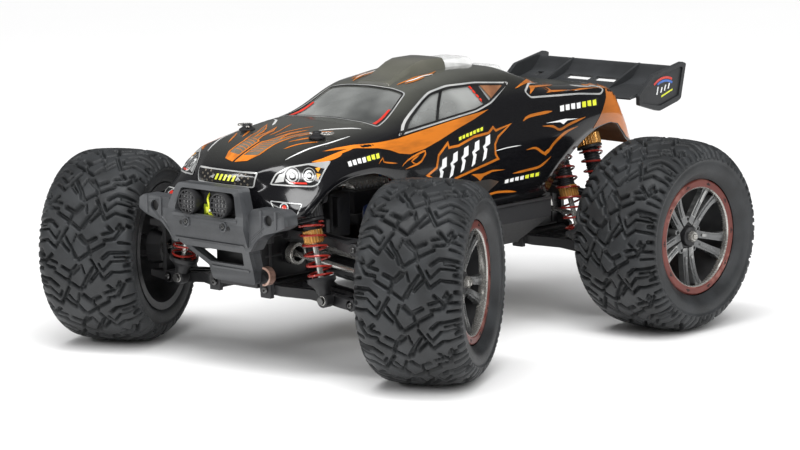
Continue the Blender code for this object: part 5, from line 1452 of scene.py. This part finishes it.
def build_bumper():
    part = Part()
    outline = mirrored([(16.8, 53), (18.6, 54.4), (19.2, 62), (28.6, 75.5), (32.4, 79.6), (33.2, 90),
                        (32.6, 100), (27.2, 112.8), (25.4, 114.4)])
    window = mirrored([(25.4, 96.6), (26.6, 98.4), (23.2, 110.4), (21.6, 111.6)])
    gap = mirrored([(14.2, 65.0), (22.4, 75.0)])
    bend = ((1, 2.5),)
    part.slab(rounded(outline, 1.2), 0, 3.4, "XZ", [rounded(window, 1.0), rounded(gap, 0.8)], 0, cuts=bend,
              warp=onto_face)
    shrink = mirrored([(15.0, 55.0), (16.8, 56.4), (17.2, 62.4), (26.6, 76.2), (30.2, 80.6), (31.2, 90),
                       (30.6, 99.4), (25.4, 111.2), (24.4, 112.2)])
    part.slab(rounded(outline, 1.2), 3.0, 9.0, "XZ", [rounded(shrink, 1.0)], 0, cuts=bend, warp=onto_face)
    for (u0, v0), (u1, v1) in (((-27.5, 94.6), (27.5, 96.4)), ((-29.5, 79.4), (29.5, 80.8))):
        part.slab([(u0, v0), (u1, v0), (u1, v1), (u0, v1)], -0.7, 1.0, "XZ", cuts=((0, 8),), warp=onto_face)
    part.slab([(-16, 60.8), (16, 60.8), (16, 62.2), (-16, 62.2)], -0.6, 1, "XZ", warp=onto_face)
    part.box((-15, -144.6, 53.2), (15, -139.0, 59.0), 0, bevel=0.6)
    for s in (-1, 1):
        wing = [(29.5, 97.0), (36.8, 103.6), (58.2, 104.0), (62.6, 101.6), (63.4, 95.0), (57.0, 91.8),
                (45.0, 88.6), (38.6, 84.6), (33.6, 77.4), (29.0, 77.4)]
        hole = circle(49.2, 97.6, 3.3, 28)
        part.slab([(s * x, z) for x, z in rounded(wing, 1.2)], -163.4, -160.8, "XZ",
                  [[(s * x, z) for x, z in hole]], 0)
        # A dark plug fills each hole from behind: painted shade in the hole.
        part.slab([(s * x, z) for x, z in hole], -161.9, -157.5, "XZ", material=1)
        rim = [(32.0, 95.6), (37.6, 101.8), (57.6, 102.2), (60.8, 100.4), (61.4, 96.2), (56.4, 93.8),
               (44.4, 90.6), (37.0, 86.0), (32.4, 79.4), (31.0, 79.4)]
        part.slab([(s * x, z) for x, z in rounded(wing, 1.2)], -160.9, -152.6, "XZ",
                  [[(s * x, z) for x, z in rounded(rim, 1.0)]], 0)
        for (x0, z0), (x1, z1) in (((33.0, 84.0), (45.6, 93.4)), ((33.0, 79.6), (44.0, 90.0))):
            part.bar((s * x0, -163.2, z0), (s * x1, -163.2, z1), 0.75, 0, steps=12)
        for rib in (((42.6, 91.8), (44.2, 91.8), (44.2, 103.2), (42.6, 103.2)),
                    ((55.0, 92.6), (56.6, 93.0), (56.6, 103.4), (55.0, 103.4))):
            part.slab([(s * x, z) for x, z in rib], -164.2, -163.0, "XZ")
        face = bumper_face(92)
        part.lathe([(1.2, 0), (3.3, 0), (3.3, 0.9), (2.6, 1.2), (1.9, 0.4), (1.2, 0.4)], 24, 0,
                   facing_front(s * 16.0, face + 0.2, 91.6), ring=True)
        screw_head(part, (s * 16.0, face + 0.4, 91.6), (0, -1, 0), 1.7, 2)
        part.lathe([(0, 0), (1.3, 0), (1.3, 0.5), (0, 0.5)], 16, 1,
                   facing_front(s * 20.4, face + 0.2, 90.8))
    part.make("bumper_moulding", "chassis", ["grey", "dark", "dark_steel"],
              ["front_bumper"], bevel=0.35)


def build_spotlights():
    for hand, side in SIDES:
        part = Part(facing_front(side * LAMP.x, LAMP.y, LAMP.z))
        part.lathe([(0, -4), (4.6, -4), (6.6, -1.0), (7.3, 2.6), (7.6, 6.8), (7.3, 7.4), (6.5, 7.2),
                    (6.3, 4.2), (0, 3.6)], 48, 0)
        guard_radius, bars = 6.5, 4
        for k in range(bars):
            off = 2.8 * (k - (bars - 1) / 2)
            reach = math.sqrt(guard_radius ** 2 - off ** 2)
            part.box((off - 0.5, -reach, 6.0), (off + 0.5, reach, 7.0), 0, bevel=0.15)
            part.box((-reach, off - 0.5, 6.1), (reach, off + 0.5, 7.1), 0, bevel=0.15)
        part.lathe([(0, 4.8), (6.0, 5.0), (6.2, 4.2), (0, 3.8)], 32, 1)
        part.make(hand + "_spotlight", "chassis", ["black", "white"], bevel=0.12)
    lead = Part(Matrix.Translation((0, -5.5, 0)))
    lead.tube(smooth_line([(-4, -151, 112), (-2.4, -155, 109.5), (-1.4, -158.2, 106), (0.6, -159.2, 102),
                           (0.2, -159.6, 98.2), (2.4, -157.0, 95.5), (2.0, -152, 94)], 1.0), 0.7, 0)
    lead.box((-3.4, -158.6, 97.4), (4.2, -156.8, 101.2), 0, bevel=0.4)
    lead.box((-5.8, -157.6, 95.2), (5.8, -156.4, 102.6), 1, bevel=0.3)
    lead.box((-24, -156.0, 94.0), (24, -154.6, 111.0), 3, bevel=0.3)
    lead.lathe([(0, 0), (1.1, 0), (1.1, 0.8), (0.6, 1.4), (0, 1.5)], 16, 2,
               facing_front(0.6, -158.5, 99.4))
    lead.make("lamp_board_and_wire", "chassis", ["yellow", "green", "white", "black"],
              bevel=0.1)


def build_strap():
    """The copper-coloured bent strap under the nose, behind the bumper's left column."""
    part = Part()
    bend = smooth_line([(30.2, 66.2), (34.0, 65.6), (36.6, 62.6), (36.4, 58.4), (33.6, 55.4), (30.0, 54.6)],
                       1.0)
    outer = [(p.x, p.y) for p in bend]
    inner = [(p.x - 1.3 if p.x > 33 else p.x, p.y + (60.4 - p.y) * 0.22) for p in reversed(bend)]
    part.slab(outer + inner, -150.5, -146.0, "XZ")
    part.make("copper_strap", "chassis", ["copper"], bevel=0.2)


# ---------------------------------------------------------------- rear wing
WING_HALF = 59.4                # the blade's half span, between the end plates
PLATE_SIDES = (58.6, 60.6)      # an end plate's faces, and its raised lip's below
LIP_SIDES = (60.4, 61.8)


def build_wing():
    """The blade, the flap on its bridges, the strakes, and the end plates with their lips."""
    part = Part()
    blade = [(161.0, 137.6), (163.0, 139.6), (178.0, 141.4), (191.6, 143.2), (192.0, 140.8), (178.0, 139.0),
             (163.0, 137.0), (161.4, 136.6)]
    part.slab(blade, -WING_HALF, WING_HALF, "YZ")
    flap = smooth_line([(198.4, 145.0), (202.4, 148.2), (206.4, 152.0), (208.6, 155.0)], 2.0)
    section = [(p.x, p.y) for p in flap] + [(p.x + 1.5, p.y - 1.7) for p in reversed(flap)]
    part.slab(section, -WING_HALF, WING_HALF, "YZ")
    for low, high in ((-WING_HALF, -51.6), (-45.8, -23.4), (-1.6, 1.6), (23.4, 45.8), (51.6, WING_HALF)):
        part.slab([(190.6, 143.1), (199.2, 145.6), (200.2, 143.6), (191.0, 140.8)], low, high, "YZ")
    strake = smooth_line([(174.0, 141.0), (184.0, 145.0), (196.0, 150.0), (209.0, 155.2)], 3)
    under = [(209.6, 153.6), (203.0, 147.0), (193.0, 142.2), (178.0, 139.6)]
    for s in (-1, 1):
        part.slab([(p.x, p.y) for p in strake] + under, s * 29.0 - 1.0, s * 29.0 + 1.0, "YZ")
        for x in (11.0, 22.0):
            part.lathe([(0, 0), (1.6, 0), (1.6, 0.5), (0, 0.5)], 18, 1,
                       Matrix.Translation((s * x, 176 - x * 0.2, 141.0)))
        part.box((s * 13 - 4.5, 160.4, 134.4), (s * 13 + 4.5, 184.0, 139.0), 0, bevel=0.5)
        plate = [(168.4, 132.6), (168.4, 139.0), (171.0, 141.4), (183.6, 151.4), (214.2, 157.4),
                 (218.2, 156.0), (212.6, 133.2), (209.6, 131.4), (190.4, 126.8), (187.6, 127.0)]
        lip = [(171.6, 133.8), (171.6, 138.6), (184.4, 149.0), (212.6, 154.4), (214.4, 153.2),
               (209.8, 135.2), (190.4, 130.4), (188.0, 130.6)]
        part.slab(rounded(plate, 1.0), *sorted(s * x for x in PLATE_SIDES), "YZ")
        part.slab(rounded(plate, 1.0), *sorted(s * x for x in LIP_SIDES), "YZ", [rounded(lip, 0.8)])
    part.make("wing_moulding", "chassis", ["wing", "dark"], ["rear_wing"], bevel=0.3)


def build_wing_decals():
    """Generic marks on the end plates: two arcs and a bar."""
    for hand, side in SIDES:
        part = Part()
        low, high = sorted((side * 60.5, side * 60.8))
        for radius, width, key, start, stop in ((19.5, 1.5, 1, 66, 128), (17.4, 1.5, 2, 62, 118)):
            outer = arc(196.5, 129.6, radius, start, stop, 12)
            inner = arc(196.5, 129.6, radius - width, stop, start, 12)
            part.slab(outer + inner, low, high, "YZ", material=key)
        for y0, z0, height in ((187.4, 137.6, 5.2), (191.6, 138.6, 3.6), (195.4, 139.6, 3.8),
                               (199.4, 140.6, 3.6)):
            part.slab([(y0, z0), (y0 + 1.1, z0), (y0 + 2.5, z0 + height), (y0 + 1.4, z0 + height)], low,
                      high, "YZ", material=0)
        part.slab([(192.6, 135.4), (204.6, 139.2), (204.6, 140.2), (192.6, 136.6)], low, high, "YZ",
                  material=3)
        part.make(hand + "_wing_decal", "chassis", ["white", "red_film", "blue", "yellow"])


# ---------------------------------------------------------------- towers, chassis and electrics
def build_front_tower():
    part = Part(Matrix.Translation((0, FRONT, 0)))
    outline = mirrored([(15, 86.6), (20, 90), (52.2, 103.4), (53.4, 106), (53.0, 110.2), (51.4, 111.2),
                        (45, 112), (28, 106), (16, 109)])
    holes = [circle(s * x, z, 1.5, 16) for s in (-1, 1) for x, z in ((40.5, 104.2), (34.5, 101.9))]
    holes += [mirrored([(10.5, 91), (17.5, 95), (12, 103.5)])]
    part.slab(outline, -4.8, -1.8, "XZ", holes, 0)
    for s in (-1, 1):
        top = Matrix.Diagonal((s, 1, 1)) @ SHOCKS["front"]["top"]
        part.bar(top + Vector((0, -4, 0)), top + Vector((0, -11.2, 0)), 2.7, 0)
        part.bar(top + Vector((0, -4, 0)), top + Vector((0, -PIN_END, 0)), PIN, 1)
        part.bar(top + Vector((0, -18.8, 0)), top + Vector((0, -20.5, 0)), 2.7, 1, steps=6)
        part.bar(top + Vector((0, -2.0, 0)), top + Vector((0, -0.2, 0)), 2.9, 1, steps=6)
        x = s * POST_X
        part.box((x - 2.6, -3, 101), (x + 2.6, POST_BACK, 105.5), bevel=0.4)
        part.bar((x, POST_BACK, 98), (x, POST_BACK, 139), 3.0, steps=28)
        for z in (112, 117, 122, 127):
            part.lathe([(3.0, z), (3.5, z), (3.5, z + 0.8), (3.0, z + 0.8)], 28,
                       matrix=Matrix.Translation((x, POST_BACK, 0)), ring=True)
    part.make("front_tower_plate", "chassis", ["black", "steel"],
              ["front_shock_tower"], bevel=0.3)


def build_rear_tower():
    part = Part(Matrix.Translation((0, REAR, 0)))
    outline = mirrored([(15, 86.6), (20, 90), (50.2, 117), (51.2, 119), (51.0, 124), (50, 124.8), (43, 126),
                        (28, 116), (12, 114)])
    holes = [circle(s * x, z, 1.5, 16) for s in (-1, 1) for x, z in ((38.5, 115.8), (33.5, 111.2))]
    holes += [mirrored([(8.0, 92), (15.5, 94), (23, 103), (20, 109), (8.0, 108)])]
    part.slab(outline, -2, 2, "XZ", holes, 0)
    for s in (-1, 1):
        top = Matrix.Diagonal((s, 1, 1)) @ SHOCKS["rear"]["top"]
        for way in (-1, 1):
            part.bar(top, top + Vector((0, way * 11.2, 0)), 2.7, 0)
            part.bar(top, top + Vector((0, way * PIN_END, 0)), PIN, 1)
            part.bar(top + Vector((0, way * 18.8, 0)), top + Vector((0, way * 20.5, 0)), 2.7, 1, steps=6)
        strut = [(0, 95), (10, 95), (48, 115), (73, 134), (73, 136.6), (53, 136.6), (42, 125), (0, 106)]
        hole = [(14, 100.5), (44, 116.5), (62, 131), (55, 132), (43.5, 121.5), (14, 107.5)]
        part.slab(strut, s * 13 - 2, s * 13 + 2, "YZ", [hole], 0)
    part.make("rear_tower_plate", "chassis", ["black", "steel"],
              ["rear_shock_tower"], bevel=0.3)


def build_chassis():
    part = Part()
    outer = [(60, 83), (60, 70.6), (30, 50)]
    inner = [(57.2, 83), (57.2, 72), (29.2, 53)]
    section = mirrored(outer) + [(-x, z) for x, z in inner] + inner[::-1]
    part.slab(section, -48, 80, "XZ")
    plan = mirrored([(16, -141.4), (16, -84), (28, -64), (28, 74), (16, 84), (16, 148)])
    part.slab(plan, 50.2, 52.8, "XY")
    wall = mirrored([(29, 52), (58.4, 71.4), (58.4, 76), (25, 76), (14, 56), (14, 52)])
    for y in (-46, 78):
        part.slab(wall, y - 1.5, y + 1.5, "XZ")
    part.box((-15, 144.6, 51), (15, 147.4, 64), 0, bevel=0.5)
    for s in (-1, 1):
        part.box((min(s * 59.6, s * 61.0), -48, 81.4), (max(s * 59.6, s * 61.0), 80, 83.2), 0, bevel=0.3)
        for y in (-130, -96, 96, 136):
            screw_head(part, (s * 9, y, 50.4), (0, 0, -1), 2.6)
        for y in (-36, -4, 28, 64):
            screw_head(part, (s * 20, y, 50.4), (0, 0, -1), 2.6)
    part.slab(rounded([(-24, -40), (24, -40), (24, 66), (-24, 66)], 6), 49.7, 50.4, "XY", material=2)
    part.slab(rounded([(-17, 88), (17, 88), (15, 127), (-15, 127)], 5), 48.7, 50.4, "XY", material=2)
    part.make("chassis_tub", "chassis", ["black", "steel", "tan"], ["chassis"],
              bevel=0.3)


def build_gearbox_trim():
    """Screws, joint lines and steel outdrive rings on both gearboxes."""
    for end in ("front", "rear"):
        part = Part(Matrix.Translation((0, end_y(end), 0)))
        for s in (-1, 1):
            part.lathe([(4.7, 0), (6.7, 0), (6.9, 0.5), (6.9, 4.6), (6.5, 5.0), (4.7, 5.0)], 36, 1,
                       Matrix.Translation((s * 20.6, 0, DIFF.z)) @ Matrix.Rotation(s * math.pi / 2, 4, "Y"),
                       ring=True)
            for hinge in (ARM_IN, ARM_IN + UPPER_RISE):
                for t in (-1, 1):
                    screw_head(part, (s * hinge.x, t * HINGE_END, hinge.z), (0, t, 0), 2.2, 2)
            for y in (-16, 16):
                screw_head(part, (s * 12.5, y, 85.8), (0, 0, 1), 2.2)
                part.box((min(s * 16.4, s * 17.8), y - 1.1, 56), (max(s * 16.4, s * 17.8), y + 1.1, 84), 0,
                         bevel=0.3)
        part.box((-17.7, -22.6, 68.2), (17.7, 22.6, 69.6), 0, bevel=0.3)
        part.make(end + "_gearbox_trim", "chassis", ["black", "steel", "dark_steel"],
                  bevel=0.2)


def build_electrics():
    low, high = node_box("battery")
    pack = Part()
    pack.box(low, high, 0, bevel=4.0)
    for y in (low.y + 18, high.y - 18):
        pack.box((low.x - 0.5, y - 5, low.z - 0.5), (high.x + 0.5, y + 5, high.z + 0.5), 1, bevel=4.2)
        pack.box((high.x - 12, y - 5.4, high.z + 0.2), (high.x - 4, y + 5.4, high.z + 1.0), 1, bevel=0.3)
    pack.make("battery_pack", "chassis", ["battery", "ink"], ["battery"])
    wires = Part()
    for k, key in ((0, 1), (1, 0)):
        route = [(16 + 3 * k, high.y - 1, 84), (12 + 3 * k, high.y + 8, 90), (0 + 3 * k, high.y + 6, 96),
                 (-12, high.y - 14 - 4 * k, 97), (-20 - 3 * k, 8, 95)]
        wires.tube(smooth_line(route, 2.0), 1.2, key)
    for k in range(3):
        route = [(-18 - 4 * k, 28, 98 - k), (-18 - 4 * k, 20, 101), (-19 - 4 * k, 12, 97)]
        wires.tube(smooth_line(route, 2.0), 1.1, (0, 1, 2)[k])
    wires.tube(smooth_line([(-8, -52, 92), (-10, -40, 97), (-18, -28, 94)], 2.0), 0.9, 0)
    wires.make("wiring", "chassis", ["ink", "red_film", "blue"])
    esc = Part()
    esc.box((-38, -26, 77.5), (-13, 12, 92), 0, bevel=1.2)
    for k in range(9):
        esc.box((-36, -22 + 3.6 * k, 91.6), (-15, -20.8 + 3.6 * k, 97.4), 1, bevel=0.2)
    esc.box((-44, -26, 71), (-10, 12, 78), 0, bevel=0.8)
    esc.make("speed_controller", "chassis", ["black", "steel"], bevel=0.2)


def build_motor():
    low, high = node_box("motor")
    middle = (low + high) / 2
    radius = (high.x - low.x) / 2
    part = Part(facing_front(middle.x, high.y, middle.z))
    can, slots = 46.0, 12
    part.lathe([(0, -0.2), (4.0, -0.2), (4.2, 0), (12.0, 0), (radius - 0.6, 0.4), (radius, 1.2),
                (radius, 8.0)], 56, 1)
    part.lathe([(radius - 0.5, 8), (radius, 8.4), (radius, can - 1.4), (radius - 1.4, can), (6.2, can),
                (6.0, can + 2.9), (2.2, can + 3.0), (0, can + 3.0)], 56, 0)
    part.lathe([(0, can + 2), (1.6, can + 2), (1.6, can + 10.6), (1.2, can + 11), (0, can + 11)], 20, 2)
    part.lathe([(0, can + 5), (3.0, can + 5), (3.0, can + 10), (0, can + 10)], 30, 2,
               wobble=ridged(15, 0.35, 2.5))
    for k in range(slots):
        a = 2 * math.pi * k / slots
        part.box((-1.2, radius - 0.25, 14), (1.2, radius + 0.25, 38), 2, Matrix.Rotation(a, 4, "Z"),
                 bevel=0.1)
    part.make("motor_can", "chassis", ["can", "black", "steel"], ["motor"], bevel=0.15)


def build_centre_shaft():
    low, high = node_box("centre_shaft")
    axle = joint_point("centre_shaft_spin")
    length = high.y - low.y
    part = Part(facing_front(axle.x, high.y, axle.z))
    part.lathe([(0, 0), (2.4, 0), (2.6, 1), (2.6, 5), (1.7, 7), (1.7, length - 7), (2.6, length - 5),
                (2.6, length - 1), (2.4, length), (0, length)], 28, 0)
    gear = high.y - 74          # the spur gear is 74 mm behind the middle of the truck
    part.lathe([(1.6, gear), (5.6, gear), (5.6, gear + 4), (1.6, gear + 4)], 144, 1, ring=True,
               wobble=ridged(24, 0.4, 5))
    part.make("centre_driveline", "centre_shaft", ["steel", "black"], ["centre_shaft"])


WELD_DISTANCE = 0.02


def dress(key, bevel, *names):
    """Gives a node of the frame its finish and soft edges, and leaves its mesh alone."""
    for name in names:
        kept = NODES[name]
        for place in kept.material_slots:
            place.link = "OBJECT"
            place.material = MATS[key]
        weld = kept.modifiers.new("weld", "WELD")
        weld.merge_threshold = WELD_DISTANCE * MM
        edges = kept.modifiers.new("edges", "BEVEL")
        edges.width = bevel * MM
        edges.segments = 2
        edges.limit_method = "ANGLE"
        edges.angle_limit = math.radians(30)


for end, hand, side in CORNERS:
    build_lower_arm(end, hand, side)
    build_upper_arm(end, hand, side)
    build_driveshaft(end, hand, side)
    build_shocks(end, hand, side)
for hand, side in SIDES:
    build_tie_rod(hand, side)
    dress("black", 0.4, f"front_{hand}_caster_block", f"front_{hand}_knuckle", f"rear_{hand}_hub_carrier")
build_bumper()
build_spotlights()
build_strap()
build_wing()
build_wing_decals()
build_front_tower()
build_rear_tower()
build_chassis()
build_gearbox_trim()
build_electrics()
build_motor()
build_centre_shaft()
dress("black", 0.4, "front_gearbox", "rear_gearbox", "steering_servo", "steering_link")
dress("white", 0.2, "servo_horn")


# ---------------------------------------------------------------- floor, lights and camera, in metres
FLOOR_HALF = 6.0
LIGHT_TARGET = (0, 0, 0.06)
SKY_SEEN, SKY_LIT, SKY_REFLECTED = 1.0, 0.42, 0.15


def build_stage():
    mesh = bpy.data.meshes.new("floor")
    h = FLOOR_HALF
    mesh.from_pydata([(-h, -h, 0), (h, -h, 0), (h, h, 0), (-h, h, 0)], [], [(0, 1, 2, 3)])
    material, tree, shader, place = new_material("floor_pale")
    tree.links.new(mix_colour(tree, noise(tree, place, 3), (0.80, 0.80, 0.80), (0.82, 0.82, 0.82)),
                   shader.inputs["Base Color"])
    shader.inputs["Roughness"].default_value = 0.55
    shader.inputs["Specular IOR Level"].default_value = 0.2
    mesh.materials.append(material)
    add_object("floor", mesh)


def area_light(name, place, size, power):
    light = bpy.data.lights.new(name, "AREA")
    light.shape = "RECTANGLE"
    light.size, light.size_y = size
    light.energy = power
    lamp = add_object(name, light)
    lamp.location = place
    lamp.rotation_euler = (Vector(LIGHT_TARGET) - Vector(place)).to_track_quat("-Z", "Y").to_euler()


def sun_light(name, towards, strength, spread_degrees):
    light = bpy.data.lights.new(name, "SUN")
    light.energy = strength
    light.angle = math.radians(spread_degrees)
    lamp = add_object(name, light)
    lamp.rotation_euler = Vector(towards).to_track_quat("Z", "Y").to_euler()
    lamp.visible_glossy = False


def build_light():
    """A white sky that reflects dimly, two soft suns and three strips for the highlights."""
    world = bpy.data.worlds.new("studio")
    bpy.context.scene.world = world
    world.use_nodes = True
    tree = world.node_tree
    path = node(tree, "ShaderNodeLightPath").outputs
    sky = spread(tree, path["Is Glossy Ray"], SKY_LIT, SKY_REFLECTED)
    strength = node(tree, "ShaderNodeMix", {"data_type": "FLOAT"}, i0=path["Is Camera Ray"], i2=sky,
                    i3=SKY_SEEN)
    tree.links.new(strength.outputs[0], tree.nodes["Background"].inputs["Strength"])
    tree.nodes["Background"].inputs["Color"].default_value = (1.0, 1.0, 1.0, 1.0)
    sun_light("overhead", (0.20, -0.30, 1.0), 2.3, 60)
    sun_light("left_fill", (1.0, -0.5, 0.9), 1.1, 40)
    area_light("softbox", (0.15, -0.45, 1.25), (1.0, 0.28), 7)
    area_light("left_strip", (1.25, -0.35, 0.75), (0.16, 1.3), 5)
    area_light("front_strip", (-0.55, -1.35, 0.70), (1.2, 0.12), 4)
    bpy.context.scene.view_settings.view_transform = "Standard"


def build_camera():
    """The main view: off the front left corner, a little above the shell. Lengths are in millimetres."""
    azimuth, elevation, roll = (math.radians(a) for a in (43.327, 9.366, -0.994))
    distance, aside, target_height = 1998.97, 1.22, 67.83
    back = Vector((math.sin(azimuth) * math.cos(elevation), -math.cos(azimuth) * math.cos(elevation),
                   math.sin(elevation)))
    right = Vector((0, 0, 1)).cross(back).normalized()
    up = back.cross(right)
    x_axis = right * math.cos(roll) + up * math.sin(roll)
    y_axis = up * math.cos(roll) - right * math.sin(roll)
    data = bpy.data.cameras.new("camera")
    data.sensor_width = 36.0
    data.lens = 140.41
    camera = add_object("camera", data)
    place = TO_ROW @ (back * distance + right * aside + up * target_height)
    camera.matrix_world = Matrix.Translation(place) @ Matrix((x_axis, y_axis, back)).transposed().to_4x4()
    bpy.context.scene.camera = camera


build_stage()
build_light()
build_camera()
